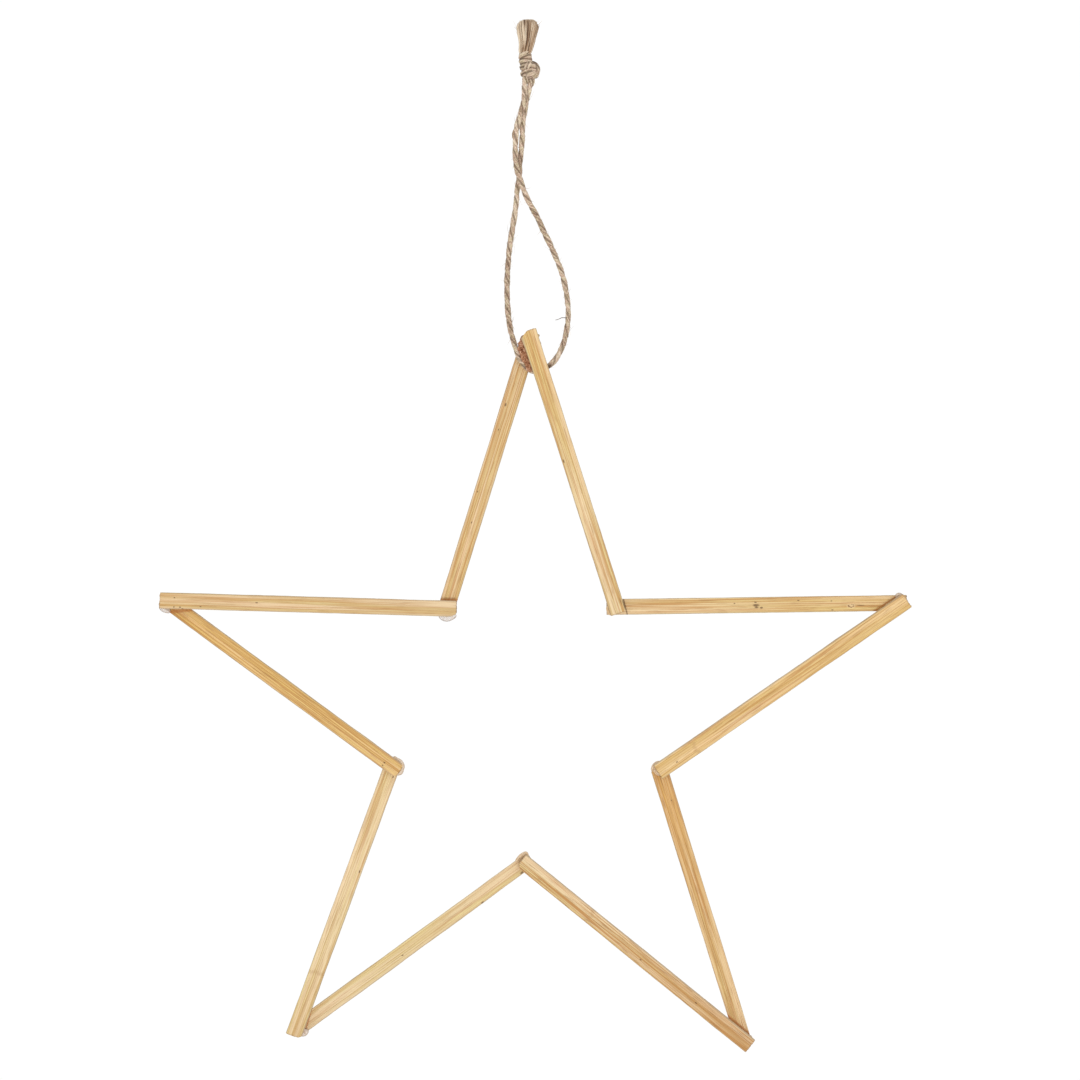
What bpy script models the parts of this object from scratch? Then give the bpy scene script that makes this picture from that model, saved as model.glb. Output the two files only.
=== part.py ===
"""Hanging star made of ten lapped bamboo splints on a loop of twine.

Metres, +Z up, front towards -Y. The origin is the point the star hangs by, just under the
knot of its twine. The splints zigzag between ten corners: five tips and five notches.
At each corner one splint lies in front of the other, with a dab of glue between them.
At the top tip a wedge of bark keeps them apart, and the twine runs under it.
"""

import math
from collections import namedtuple

import bpy
import bmesh
from mathutils import Matrix, Vector

# Driving dimensions: the star
TIP_RADIUS = 0.1545           # star centre to a tip's crossing of centre lines
NOTCH_RADIUS = 0.0567         # star centre to a notch's crossing of centre lines
STAR_SHIFT = -0.0004          # star centre, sideways from the hanging point
TIP_OVER_TWINE = 0.0143       # top tip, above the lowest point of the twine's centre line

# Driving dimensions: the splints and what lies between them
SPLINT_WIDTH = 0.0066
SPLINT_THICKNESS = 0.0030
SPLINT_EDGE = 0.0004          # rounding of the long edges
CORNER_ROUND = 0.0020         # a corner of an end that was rounded off
GLUE_GAP = 0.0012             # between two glued splints
TOUCH_GAP = 0.0003            # left between pieces that touch
GLUE_RADIUS = 0.0026          # a dab, where it stays hidden between the splints
BARK_WIDTH = 0.0092           # from where its shoulder meets the twine's left leg
BARK_SHOULDER_DROP = 0.0026   # its shoulders, below the tip's crossing
BARK_TOP_DROP = 0.0004        # its top, below the tip's crossing
BARK_LEFT_CUT = 0.0022        # width that its upper left corner's slant takes
BARK_RIGHT_CUT = 0.0009       # width that its upper right corner's slant takes

# Driving dimensions: the twine
TWINE_DIAMETER = 0.0024
TWINE_CLEARANCE = 0.0005      # each side of the twine, between the two top splints
KNOT_WIDTH = 0.0084
KNOT_HEIGHT = 0.0116
TASSEL_WIDTH = 0.0092         # at the flare of the frayed ends
TASSEL_HEIGHT = 0.0124

APEX_GAP = TWINE_DIAMETER + 2 * TWINE_CLEARANCE
FRONT, BACK = -1, 1

# Hand-made drift of each corner from a regular star (sideways, up), counter-clockwise from
# the top tip: tips and notches take turns.
Corner = namedtuple("Corner", "name drift_x drift_z")
CORNERS = (
    Corner("top_tip", 0.0011, -0.0004),
    Corner("upper_left", 0.0008, -0.0004),
    Corner("left_tip", 0.0021, 0.0010),
    Corner("lower_left", -0.0002, 0.0002),
    Corner("lower_left_tip", -0.0020, 0.0018),
    Corner("bottom", -0.0010, 0.0004),
    Corner("lower_right_tip", -0.0044, -0.0023),
    Corner("lower_right", -0.0011, -0.0018),
    Corner("right_tip", 0.0032, 0.0),
    Corner("upper_right", 0.0022, 0.0003),
)

# What is missing from an end's two corners, as (along, across, steps): first the corner on the
# right of someone walking from the splint's start to its end, then the one on the left.
CRISP = (0.0, 0.0, 0)
SOFT = (CORNER_ROUND, CORNER_ROUND, 3)
SQUARE = (CRISP, CRISP)
ROUNDED = (SOFT, SOFT)
CHIPPED_RIGHT = ((0.0016, 0.0020, 1), CRISP)
CHIPPED_LEFT = (CRISP, (0.0009, 0.0012, 1))
SLANTED_LEFT = (CRISP, (0.0024, 0.0028, 1))
SLANTED_RIGHT = ((0.0032, 0.0048, 1), CRISP)
RAGGED_RIGHT = ((0.0006, 0.0018, 1), CRISP)

# The splints in order round the star. Each runs from its corner to the next one. Every pair is
# for its start and its end: the side it lies on, how far its tail runs past the crossing, its
# width as a share of SPLINT_WIDTH, and what is missing from its corners.
Splint = namedtuple("Splint", "name sides tails widths cuts finish")
SPLINTS = (
    Splint("stick_top_left", (BACK, BACK), (0.0022, 0.0024), (1.02, 1.02),
           (SLANTED_RIGHT, SQUARE), "straw"),
    Splint("stick_left_upper", (FRONT, FRONT), (0.0043, 0.0020), (1.0, 1.01),
           (CHIPPED_LEFT, SQUARE), "straw"),
    Splint("stick_left_lower", (BACK, FRONT), (0.0014, 0.0039), (0.99, 0.99),
           (SQUARE, ROUNDED), "golden"),
    Splint("stick_lower_left_outer", (BACK, FRONT), (0.0018, 0.0020), (1.0, 1.0),
           (SQUARE, SQUARE), "pale"),
    Splint("stick_lower_left_inner", (BACK, BACK), (-0.0018, 0.0029), (0.98, 0.92),
           (SQUARE, SQUARE), "pale"),
    Splint("stick_lower_right_inner", (FRONT, FRONT), (0.0020, 0.0031), (0.98, 1.0),
           (CHIPPED_RIGHT, SQUARE), "amber"),
    Splint("stick_lower_right_outer", (BACK, BACK), (0.0005, 0.0014), (0.97, 1.05),
           (SQUARE, ROUNDED), "golden"),
    Splint("stick_right_lower", (FRONT, FRONT), (0.0010, 0.0018), (1.03, 1.03),
           (SQUARE, SQUARE), "golden"),
    Splint("stick_right_upper", (BACK, BACK), (0.0017, 0.0039), (0.99, 0.99),
           (SQUARE, SQUARE), "straw"),
    Splint("stick_top_right", (FRONT, FRONT), (0.0028, 0.0026), (1.0, 1.0),
           (RAGGED_RIGHT, SLANTED_LEFT), "straw"),
)

# The rim of each dab where it squeezed out from between the splints, as places round the
# crossing (degrees, reach), counter-clockwise. The top tip has no glue.
Dab = namedtuple("Dab", "corner rim")
DABS = (
    Dab(1, ((222, 0.0043), (238, 0.0047), (256, 0.0049), (278, 0.0051), (300, 0.0050), (320, 0.0052),
            (330, 0.0048))),
    Dab(2, ((225, 0.0036), (245, 0.0043), (262, 0.0047), (283, 0.0051), (293, 0.0054))),
    Dab(3, ((298, 0.0042), (309, 0.0050), (322, 0.0053), (338, 0.0050), (360, 0.0050), (374, 0.0045),
            (392, 0.0041), (405, 0.0036))),
    Dab(4, ((320, 0.0040), (335, 0.0047), (351, 0.0053), (365, 0.0055))),
    Dab(5, ((68, 0.0039), (83, 0.0047), (97, 0.0044), (111, 0.0041), (138, 0.0037), (160, 0.0038),
            (174, 0.0039))),
    Dab(6, ((10, 0.0033), (25, 0.0037), (40, 0.0034))),
    Dab(7, ((72, 0.0036), (88, 0.0039), (104, 0.0039), (133, 0.0038), (159, 0.0035), (180, 0.0033))),
    Dab(8, ((92, 0.0034), (104, 0.0041), (114, 0.0044), (128, 0.0044), (140, 0.0041))),
    Dab(9, ((172, 0.0038), (190, 0.0041), (205, 0.0042), (219, 0.0045), (235, 0.0043))),
)

# The twine's route (sideways, depth, height), chosen by hand. The right leg comes down from the
# knot in front of the left leg, crosses over it, and runs down to the right of the star.
# The left leg passes in front of the left top splint and then under the bark.
RIGHT_LEG = (
    (-0.0014, -0.0005, -0.0004), (-0.0016, -0.0009, -0.0025), (-0.0016, -0.0012, -0.0060),
    (-0.0021, -0.0013, -0.0095), (-0.0033, -0.0013, -0.0140), (-0.0046, -0.0009, -0.0185),
    (-0.0051, -0.0005, -0.0230), (-0.0053, -0.0005, -0.0280), (-0.0051, -0.0010, -0.0325),
    (-0.0044, -0.0014, -0.0365), (-0.0032, -0.0014, -0.0400), (-0.0019, -0.0009, -0.0440),
    (0.0002, -0.0003, -0.0486), (0.0035, 0.0, -0.0547), (0.0063, 0.0, -0.0608),
    (0.0093, 0.0, -0.0670), (0.0123, 0.0, -0.0741), (0.0142, 0.0, -0.0802),
    (0.0155, 0.0, -0.0874), (0.0159, 0.0, -0.0935), (0.0153, 0.0, -0.0996),
    (0.0138, 0.0, -0.1058), (0.0113, 0.0, -0.1108), (0.0088, 0.0, -0.1136), (0.0058, 0.0, -0.1157),
)
LOW_POINT = (0.0027, 0.0, -0.1165)
LEFT_LEG = (
    (0.0001, 0.0, -0.1154), (-0.0029, 0.0, -0.1122), (-0.0052, 0.0, -0.1068),
    (-0.0072, 0.0, -0.0996), (-0.0083, 0.0, -0.0915), (-0.0086, 0.0, -0.0833),
    (-0.0083, 0.0, -0.0752), (-0.0075, 0.0, -0.0660), (-0.0060, 0.0, -0.0568),
    (-0.0050, 0.0003, -0.0496), (-0.0046, 0.0009, -0.0444), (-0.0040, 0.0014, -0.0400),
    (-0.0036, 0.0014, -0.0362), (-0.0034, 0.0010, -0.0325), (-0.0029, 0.0005, -0.0280),
    (-0.0025, 0.0005, -0.0230), (-0.0024, 0.0009, -0.0185), (-0.0019, 0.0013, -0.0140),
    (-0.0011, 0.0013, -0.0095), (-0.0005, 0.0012, -0.0060), (0.0004, 0.0009, -0.0025),
    (0.0014, 0.0005, -0.0004),
)

# How finely round forms are cut into flat faces
CURVE_STEPS = 24                      # between two points of the twine's route
TWINE_STEP = 2 * TWINE_DIAMETER       # spacing of the tube's rings
DAB_SIDES = 24
BUNDLE_SIDES = 18

# Each finish: sRGB tint, 0 to 255, and roughness
Finish = namedtuple("Finish", "tint roughness")
FINISHES = {
    "pale": Finish((229, 200, 153), 0.55),
    "straw": Finish((219, 184, 134), 0.55),
    "golden": Finish((222, 178, 114), 0.55),
    "amber": Finish((212, 173, 122), 0.55),
    "glue": Finish((226, 220, 214), 0.35),
    "bark": Finish((147, 99, 62), 0.95),
    "twine": Finish((180, 155, 126), 0.9),
}


def add_mesh_object(name, mesh, parent, material):
    """Links a mesh to the scene as an object under the star's empty."""
    mesh.materials.append(material)
    made = bpy.data.objects.new(name, mesh)
    made.parent = parent
    bpy.context.scene.collection.objects.link(made)
    return made


def make_material(name, finish):
    """A Principled material with one of the finishes."""
    def linear(channel):
        share = channel / 255
        return share / 12.92 if share <= 0.04045 else ((share + 0.055) / 1.055) ** 2.4

    material = bpy.data.materials.new(name)
    material.use_nodes = True
    shader = material.node_tree.nodes["Principled BSDF"]
    shader.inputs["Base Color"].default_value = (*(linear(c) for c in FINISHES[finish].tint), 1)
    shader.inputs["Roughness"].default_value = FINISHES[finish].roughness
    shader.inputs["Metallic"].default_value = 0.0
    return material


def slab_between(name, outline, front_at, back_at):
    """A closed slab over a counter-clockwise (x, z) outline, with its depth given by functions."""
    shape = bmesh.new()
    front = [shape.verts.new((x, front_at(x, z), z)) for x, z in outline]
    back = [shape.verts.new((x, back_at(x, z), z)) for x, z in outline]
    shape.faces.new(front)
    shape.faces.new(list(reversed(back)))
    count = len(outline)
    for i in range(count):
        j = (i + 1) % count
        shape.faces.new((front[j], front[i], back[i], back[j]))
    mesh = bpy.data.meshes.new(name)
    shape.to_mesh(mesh)
    shape.free()
    return mesh


def corner_point(index, top_z):
    """Crossing of two centre lines, as (x, z): even corners are tips, odd ones notches."""
    corner = CORNERS[index % len(CORNERS)]
    radius = NOTCH_RADIUS if index % 2 else TIP_RADIUS
    angle = math.pi / 2 + 2 * math.pi * index / len(CORNERS)
    centre_z = top_z - TIP_RADIUS
    x = STAR_SHIFT + radius * math.cos(angle) + corner.drift_x
    z = centre_z + radius * math.sin(angle) + corner.drift_z
    return x, z


def gap_at(index):
    """Open gap between the two splints that cross at a corner."""
    return APEX_GAP if index % len(CORNERS) == 0 else GLUE_GAP


class SplintLine:
    """A splint's centre line, and the depth of its faces anywhere over the star."""

    def __init__(self, index, top_z):
        self.spec = SPLINTS[index]
        self.start = self.end_point(index, self.spec.sides[0], top_z)
        self.end = self.end_point(index + 1, self.spec.sides[1], top_z)
        self.length = (self.end - self.start).length
        along = (self.end - self.start).normalized()
        across = Vector((-along.z, 0, along.x)).normalized()
        self.axes = (along, across, along.cross(across))

    @staticmethod
    def end_point(corner, side, top_z):
        x, z = corner_point(corner, top_z)
        return Vector((x, side * (gap_at(corner) + SPLINT_THICKNESS) / 2, z))

    def face_depth(self, x, z, side):
        """Y of the splint's front or back face at (x, z)."""
        along, _, normal = self.axes
        run = ((x - self.start.x) * along.x + (z - self.start.z) * along.z) / (along.x**2 + along.z**2)
        return self.start.y + run * along.y + side * SPLINT_THICKNESS / 2 / abs(normal.y)


def cut_corner(tip, half_width, cut, sign):
    """Points of one corner of an end, from its long edge to its end edge."""
    along, across, steps = cut
    if not steps:
        return [(tip, sign * half_width)]
    points = []
    for i in range(steps + 1):
        turn = math.pi / 2 * i / steps
        out = half_width - across * (1 - math.cos(turn))
        points.append((tip - along * (1 - math.sin(turn)), sign * out))
    return points


def splint_outline(spec, length):
    """Counter-clockwise outline of a splint, along X and across Y, seen from its front."""
    start_half, end_half = (SPLINT_WIDTH * share / 2 for share in spec.widths)
    start_tip, end_tip = spec.tails[0], length + spec.tails[1]
    start_cuts, end_cuts = spec.cuts
    end_right = cut_corner(end_tip, end_half, end_cuts[0], -1)
    end_left = cut_corner(end_tip, end_half, end_cuts[1], 1)
    start_right = cut_corner(start_tip, start_half, start_cuts[0], -1)
    start_left = cut_corner(start_tip, start_half, start_cuts[1], 1)
    outline = end_right + end_left[::-1]
    outline += [(-u, v) for u, v in start_left] + [(-u, v) for u, v in start_right[::-1]]
    return outline


def make_splint(line, parent, material):
    """One flat bamboo splint, placed by its own location and rotation."""
    outline = splint_outline(line.spec, line.length)
    shape = bmesh.new()
    face = shape.faces.new([shape.verts.new((u, v, -SPLINT_THICKNESS / 2)) for u, v in outline])
    grown = bmesh.ops.extrude_face_region(shape, geom=[face])
    lifted = [item for item in grown["geom"] if isinstance(item, bmesh.types.BMVert)]
    bmesh.ops.translate(shape, verts=lifted, vec=(0, 0, SPLINT_THICKNESS))
    bmesh.ops.recalc_face_normals(shape, faces=shape.faces)
    mesh = bpy.data.meshes.new(line.spec.name)
    shape.to_mesh(mesh)
    shape.free()
    splint = add_mesh_object(line.spec.name, mesh, parent, material)
    turn = Matrix(line.axes).transposed()
    splint.location = line.start
    splint.rotation_euler = turn.to_euler()
    edge = splint.modifiers.new("rounded edges", "BEVEL")
    edge.width = SPLINT_EDGE
    edge.segments = 2
    edge.limit_method = "ANGLE"
    return splint


def make_dab(dab, lines, top_z, parent, material):
    """A dab of glue that fills the gap between two splints, with the bulge that squeezed out."""
    x0, z0 = corner_point(dab.corner, top_z)
    before, after = lines[dab.corner - 1], lines[dab.corner % len(lines)]
    front, back = (before, after) if before.spec.sides[1] == FRONT else (after, before)
    rim = [(math.radians(degrees), reach) for degrees, reach in dab.rim]
    hidden_turn = 2 * math.pi - (rim[-1][0] - rim[0][0])
    count = round(DAB_SIDES * hidden_turn / (2 * math.pi))
    hidden = [(rim[-1][0] + hidden_turn * (i + 0.5) / count, GLUE_RADIUS) for i in range(count)]
    outline = [(x0 + reach * math.cos(angle), z0 + reach * math.sin(angle)) for angle, reach in rim + hidden]
    mesh = slab_between(
        "glue_" + CORNERS[dab.corner].name, outline,
        lambda x, z: front.face_depth(x, z, BACK) + TOUCH_GAP,
        lambda x, z: back.face_depth(x, z, FRONT) - TOUCH_GAP,
    )
    return add_mesh_object(mesh.name, mesh, parent, material)


def smooth_route(points, step):
    """Even steps along a smooth curve through the given points."""
    points = [Vector(p) for p in points]
    padded = [2 * points[0] - points[1], *points, 2 * points[-1] - points[-2]]
    fine = []
    for a, b, c, d in zip(padded, padded[1:], padded[2:], padded[3:]):
        for i in range(CURVE_STEPS):
            t = i / CURVE_STEPS
            fine.append(0.5 * (2 * b + (c - a) * t + (2 * a - 5 * b + 4 * c - d) * t**2
                               + (3 * b - a - 3 * c + d) * t**3))
    fine.append(points[-1])
    reach = [0.0]
    for a, b in zip(fine, fine[1:]):
        reach.append(reach[-1] + (b - a).length)
    count = round(reach[-1] / step)
    even = []
    k = 0
    for i in range(count + 1):
        goal = reach[-1] * i / count
        while k < len(fine) - 2 and reach[k + 1] < goal:
            k += 1
        share = (goal - reach[k]) / (reach[k + 1] - reach[k])
        even.append(fine[k].lerp(fine[k + 1], share))
    return even


def make_twine(route, parent, material):
    """The loop of twine: one round tube from the knot, down under the bark and back up."""
    curve = bpy.data.curves.new("twine_loop", "CURVE")
    curve.dimensions = "3D"
    curve.bevel_depth = TWINE_DIAMETER / 2
    curve.bevel_resolution = 2
    curve.use_fill_caps = True
    spline = curve.splines.new("POLY")
    spline.points.add(len(route) - 1)
    for point, place in zip(spline.points, route):
        point.co = (*place, 1)
    return add_mesh_object("twine_loop", curve, parent, material)


def inside_edge(route, offset):
    """A line in (x, z) beside the twine's straight facets, on the inner side of its loop."""
    edge = []
    for before, here, after in zip(route, route[1:], route[2:]):
        arriving = (here - before).normalized()
        leaving = (after - here).normalized()
        inward = Vector((arriving.z, -arriving.x))
        middle = (inward + Vector((leaving.z, -leaving.x))).normalized()
        edge.append(Vector((here.x, here.z)) + middle * offset / middle.dot(inward))
    return edge


def crossing(line, axis, value):
    """Index and place of a line's first crossing of a value on one axis."""
    for i, (a, b) in enumerate(zip(line, line[1:])):
        if min(a[axis], b[axis]) <= value < max(a[axis], b[axis]):
            return i, a.lerp(b, (value - a[axis]) / (b[axis] - a[axis]))
    raise ValueError("the line never crosses that value")


def make_bark(route, top_z, parent, material):
    """The wedge between the two top splints. Its left and lower edge rests on the twine."""
    tip_z = corner_point(0, top_z)[1]
    shoulder = tip_z - BARK_SHOULDER_DROP
    edge = inside_edge(route, TWINE_DIAMETER / 2 + TOUCH_GAP)
    lowest = min(range(len(edge)), key=lambda i: edge[i].y)
    edge = edge[lowest - 2:]
    first, bottom_right = crossing(edge, 0, LOW_POINT[0])
    last, left_shoulder = crossing(edge, 1, shoulder)
    right = left_shoulder.x + BARK_WIDTH
    top = tip_z - BARK_TOP_DROP
    outline = [bottom_right, *edge[first + 1:last + 1], left_shoulder]
    outline += [(left_shoulder.x + BARK_LEFT_CUT, top), (right - BARK_RIGHT_CUT, top), (right, shoulder)]
    outline.reverse()
    half = APEX_GAP / 2 - TOUCH_GAP
    mesh = slab_between("bark_spacer", outline, lambda x, z: -half, lambda x, z: half)
    return add_mesh_object("bark_spacer", mesh, parent, material)


def make_bundle(name, stations, lobes, lobe_depth, twist, parent, material):
    """A closed solid through rings of (height, sideways, width, depth), fluted like laid strands."""
    shape = bmesh.new()
    rings = []
    for row, (height, sideways, width, depth) in enumerate(stations):
        ring = []
        for i in range(BUNDLE_SIDES):
            angle = 2 * math.pi * i / BUNDLE_SIDES
            swell = 1 - lobe_depth * (1 - math.cos(lobes * angle + twist * row)) / 2
            x = sideways + width / 2 * swell * math.cos(angle)
            y = depth / 2 * swell * math.sin(angle)
            ring.append(shape.verts.new((x, y, height)))
        rings.append(ring)
    for low, high in zip(rings, rings[1:]):
        bmesh.ops.bridge_loops(shape, edges=ring_edges(shape, low) + ring_edges(shape, high))
    shape.faces.new(rings[0][::-1])
    shape.faces.new(rings[-1])
    bmesh.ops.recalc_face_normals(shape, faces=shape.faces)
    mesh = bpy.data.meshes.new(name)
    shape.to_mesh(mesh)
    shape.free()
    mesh.shade_smooth()
    return add_mesh_object(name, mesh, parent, material)


def ring_edges(shape, ring):
    """The edges that close a ring of vertices, made where they are missing."""
    edges = []
    for a, b in zip(ring, ring[1:] + ring[:1]):
        edges.append(shape.edges.get((a, b)) or shape.edges.new((a, b)))
    return edges


def make_knot(parent, material):
    """Overhand knot: a round lump with a smaller wrap on its upper left."""
    shares = (
        (0.0, 0.02, 0.62, 0.52), (0.10, 0.08, 0.76, 0.70), (0.25, 0.10, 0.94, 0.88),
        (0.42, 0.07, 1.0, 0.92), (0.57, 0.04, 0.94, 0.86), (0.66, -0.08, 0.80, 0.74),
        (0.72, -0.14, 0.78, 0.72), (0.84, -0.17, 0.76, 0.74), (0.94, -0.15, 0.70, 0.68),
        (1.0, -0.14, 0.62, 0.60),
    )
    stations = [(h * KNOT_HEIGHT, x * KNOT_WIDTH, w * KNOT_WIDTH, d * KNOT_WIDTH) for h, x, w, d in shares]
    return make_bundle("twine_knot", stations, 3, 0.10, 0.7, parent, material)


def make_tassel(parent, material):
    """The twine's two cut ends, frayed into a brush that flares upwards."""
    shares = (
        (0.0, -0.13, 0.58, 0.56), (0.20, -0.10, 0.66, 0.58), (0.45, -0.05, 0.76, 0.66),
        (0.62, -0.03, 0.86, 0.74), (0.76, -0.02, 1.0, 0.80), (0.88, -0.02, 0.90, 0.74),
        (1.0, -0.03, 0.62, 0.52),
    )
    base = KNOT_HEIGHT + TOUCH_GAP
    stations = [(base + h * TASSEL_HEIGHT, x * TASSEL_WIDTH, w * TASSEL_WIDTH, d * TASSEL_WIDTH)
                for h, x, w, d in shares]
    return make_bundle("twine_tassel", stations, 4, 0.14, 0.12, parent, material)


def main():
    for leftover in list(bpy.data.objects):
        bpy.data.objects.remove(leftover)
    star = bpy.data.objects.new("hanging_point", None)
    bpy.context.scene.collection.objects.link(star)
    top_z = LOW_POINT[2] + TIP_OVER_TWINE
    lines = [SplintLine(i, top_z) for i in range(len(SPLINTS))]
    for line in lines:
        spec = line.spec
        make_splint(line, star, make_material(spec.name + "_bamboo", spec.finish))
    for dab in DABS:
        glue = make_material("glue_" + CORNERS[dab.corner].name + "_set", "glue")
        make_dab(dab, lines, top_z, star, glue)
    route = smooth_route((*RIGHT_LEG, LOW_POINT, *LEFT_LEG), TWINE_STEP)
    make_bark(route, top_z, star, make_material("rough_bark", "bark"))
    make_twine(route, star, make_material("jute_loop", "twine"))
    make_knot(star, make_material("jute_knot", "twine"))
    make_tassel(star, make_material("jute_tassel", "twine"))


main()
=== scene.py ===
"""Looks of the hanging star: split bamboo sticks, the glue at their laps, a wedge of bark at the
top and a knotted loop of jute twine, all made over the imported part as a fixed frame.

Metres, +Z up, front towards -Y. The origin is the point the star hangs by, under the knot.
"""

import math
from collections import namedtuple

import bpy
import numpy as np
from mathutils import Matrix, Vector
from mathutils.bvhtree import BVHTree


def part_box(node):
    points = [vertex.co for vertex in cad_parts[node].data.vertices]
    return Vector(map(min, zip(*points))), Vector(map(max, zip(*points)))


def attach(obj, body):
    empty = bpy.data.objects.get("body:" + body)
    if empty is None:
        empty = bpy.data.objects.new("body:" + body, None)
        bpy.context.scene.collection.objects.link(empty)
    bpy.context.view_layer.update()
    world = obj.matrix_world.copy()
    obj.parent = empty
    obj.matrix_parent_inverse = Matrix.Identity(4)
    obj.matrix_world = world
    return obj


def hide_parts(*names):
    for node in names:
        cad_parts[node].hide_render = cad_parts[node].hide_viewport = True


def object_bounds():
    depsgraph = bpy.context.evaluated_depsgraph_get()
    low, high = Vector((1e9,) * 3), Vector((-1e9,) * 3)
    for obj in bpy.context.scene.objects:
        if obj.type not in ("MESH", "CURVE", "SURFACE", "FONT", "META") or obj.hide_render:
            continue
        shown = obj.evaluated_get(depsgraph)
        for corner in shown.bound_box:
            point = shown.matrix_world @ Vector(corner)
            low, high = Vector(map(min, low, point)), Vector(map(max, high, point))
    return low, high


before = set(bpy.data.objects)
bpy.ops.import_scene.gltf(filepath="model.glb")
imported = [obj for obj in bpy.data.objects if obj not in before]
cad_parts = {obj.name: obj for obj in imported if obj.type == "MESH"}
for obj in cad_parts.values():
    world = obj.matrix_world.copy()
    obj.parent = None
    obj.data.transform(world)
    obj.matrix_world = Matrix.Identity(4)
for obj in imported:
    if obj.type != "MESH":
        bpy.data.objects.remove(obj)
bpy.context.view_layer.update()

MM = 0.001

# The photograph: 1080 pixels square, seen from the front
PIXEL = 0.4 * MM                     # one pixel at the star
HANGING_PIXEL = (528, 80)            # where the hanging point shows
MIDDLE_PIXEL = 539.5
FRAME_WIDTH = 1080 * PIXEL
LENS, SENSOR = 100.0, 36.0

# The twine's route (sideways, depth, height) is the part's own: from the knot down the right
# leg, under the bark at the low point and back up the left leg.
RIGHT_LEG = (
    (-0.0014, -0.0005, -0.0004), (-0.0016, -0.0009, -0.0025), (-0.0016, -0.0012, -0.0060),
    (-0.0021, -0.0013, -0.0095), (-0.0033, -0.0013, -0.0140), (-0.0046, -0.0009, -0.0185),
    (-0.0051, -0.0005, -0.0230), (-0.0053, -0.0005, -0.0280), (-0.0051, -0.0010, -0.0325),
    (-0.0044, -0.0014, -0.0365), (-0.0032, -0.0014, -0.0400), (-0.0019, -0.0009, -0.0440),
    (0.0002, -0.0003, -0.0486), (0.0035, 0.0, -0.0547), (0.0063, 0.0, -0.0608),
    (0.0093, 0.0, -0.0670), (0.0123, 0.0, -0.0741), (0.0142, 0.0, -0.0802),
    (0.0155, 0.0, -0.0874), (0.0159, 0.0, -0.0935), (0.0153, 0.0, -0.0996),
    (0.0138, 0.0, -0.1058), (0.0113, 0.0, -0.1108), (0.0088, 0.0, -0.1136), (0.0058, 0.0, -0.1157),
)
LOW_POINT = (0.0027, 0.0, -0.1165)
LEFT_LEG = (
    (0.0001, 0.0, -0.1154), (-0.0029, 0.0, -0.1122), (-0.0052, 0.0, -0.1068),
    (-0.0072, 0.0, -0.0996), (-0.0083, 0.0, -0.0915), (-0.0086, 0.0, -0.0833),
    (-0.0083, 0.0, -0.0752), (-0.0075, 0.0, -0.0660), (-0.0060, 0.0, -0.0568),
    (-0.0050, 0.0003, -0.0496), (-0.0046, 0.0009, -0.0444), (-0.0040, 0.0014, -0.0400),
    (-0.0036, 0.0014, -0.0362), (-0.0034, 0.0010, -0.0325), (-0.0029, 0.0005, -0.0280),
    (-0.0025, 0.0005, -0.0230), (-0.0024, 0.0009, -0.0185), (-0.0019, 0.0013, -0.0140),
    (-0.0011, 0.0013, -0.0095), (-0.0005, 0.0012, -0.0060), (0.0004, 0.0009, -0.0025),
    (0.0014, 0.0005, -0.0004),
)
# Corners of the bark's solid, and where the photograph shows them over the twine (mm)
BARK_LIP = (
    ((2.7, -114.4), (2.4, -116.6)), ((5.1, -105.2), (5.1, -105.2)), ((4.2, -103.0), (4.2, -103.0)),
    ((-1.9, -103.0), (-2.6, -102.0)), ((-4.1, -105.2), (-4.3, -105.2)), ((-3.2, -107.9), (-4.2, -108.0)),
    ((-1.4, -111.8), (-2.5, -112.6)), ((1.5, -114.4), (-0.2, -116.7)),
)
TWINE_CLEAR = 1.22 * MM              # distance from the twine's centre line that the bark keeps
LIP_LIFT = 0.45 * MM                 # how far the lip stands out over the twine
LIP_FREE = 1.9 * MM                  # the splint in front begins to the right of this
LIP_REACH = 4 * MM                   # how far above the bark the twine is still kept clear of
LIP_BLEND = 0.8 * MM                 # over which the lip rises to its full lift
FLAKE_DEPTH = 0.30 * MM              # of the flakes on the bark's two faces
TORN_EDGE = 0.42 * MM                # of the torn outline
# Painted shadow on the right leg, where it passes behind the splint
TWINE_SHADOW_SPOT = (8.5 * MM, -1.0 * MM, -114.5 * MM)   # a dark spot on the right leg, by the splint
TWINE_SHADOW_RADIUS = 1.2 * MM
TOP_FLARE = 0.9 * MM                 # how much wider the top right splint's upper end is
KNOT_TAIL = 2.0 * MM                 # how far each leg runs on into the knot
TWINE_DIAMETER = 2.4 * MM
TWINE_PITCH = 12.5 * MM              # one full turn of its two plies
RING_STEP = 0.22 * MM
PLY_SIDES = 20
PLY_SWING = 112                      # degrees that a ply's outer arc reaches each way from its crown
PLY_SECTION = (0.40, 0.72, 0.92)     # a ply's centre, half-depth and half-width (mm)
FUZZ_FIBRES = 230                    # loose fibres on each leg
KNOT_LEAN = 0.2 * MM                 # how far the legs part inside the knot

# The splints in order round the star, from the top tip counter-clockwise: how much the inner and
# the outer edge are worn back from the solid (mm), the tint at the start and at the end (sRGB), how
# strongly the fibres show, and how ragged the ends are (mm). A mark and an eye are (pixel x, y,
# half-length mm, half-width mm): a mark is dark, and an eye is pale inside a brown rim. A node is
# (pixel x, y). A lap shadow is painted shade along a line where a lap's front splint shades the
# wood behind it: (pixel x, y, pixel x, y, half-width mm, tint). Worn is how far the inner corner
# is gone at the start and at the end (mm). The tints (sRGB) come first.
# Painted shadow tints: the brown of a lap's shade on the splint behind, and a darker one for a deep gap
LAP_SHADOW, DARK_LAP_SHADOW = (184, 112, 44), (92, 56, 8)
STREAK, STRAND, GLEAM, DASH = (186, 126, 54), (190, 136, 74), (246, 226, 184), (160, 112, 62)
EDGE_SKIN_AND_SHADE, CUT_END, MARK, NODE = (182, 163, 132), (140, 106, 70), (92, 56, 18), (176, 134, 84)
EYE, EYE_RIM = (236, 208, 160), (128, 84, 38)
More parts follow.
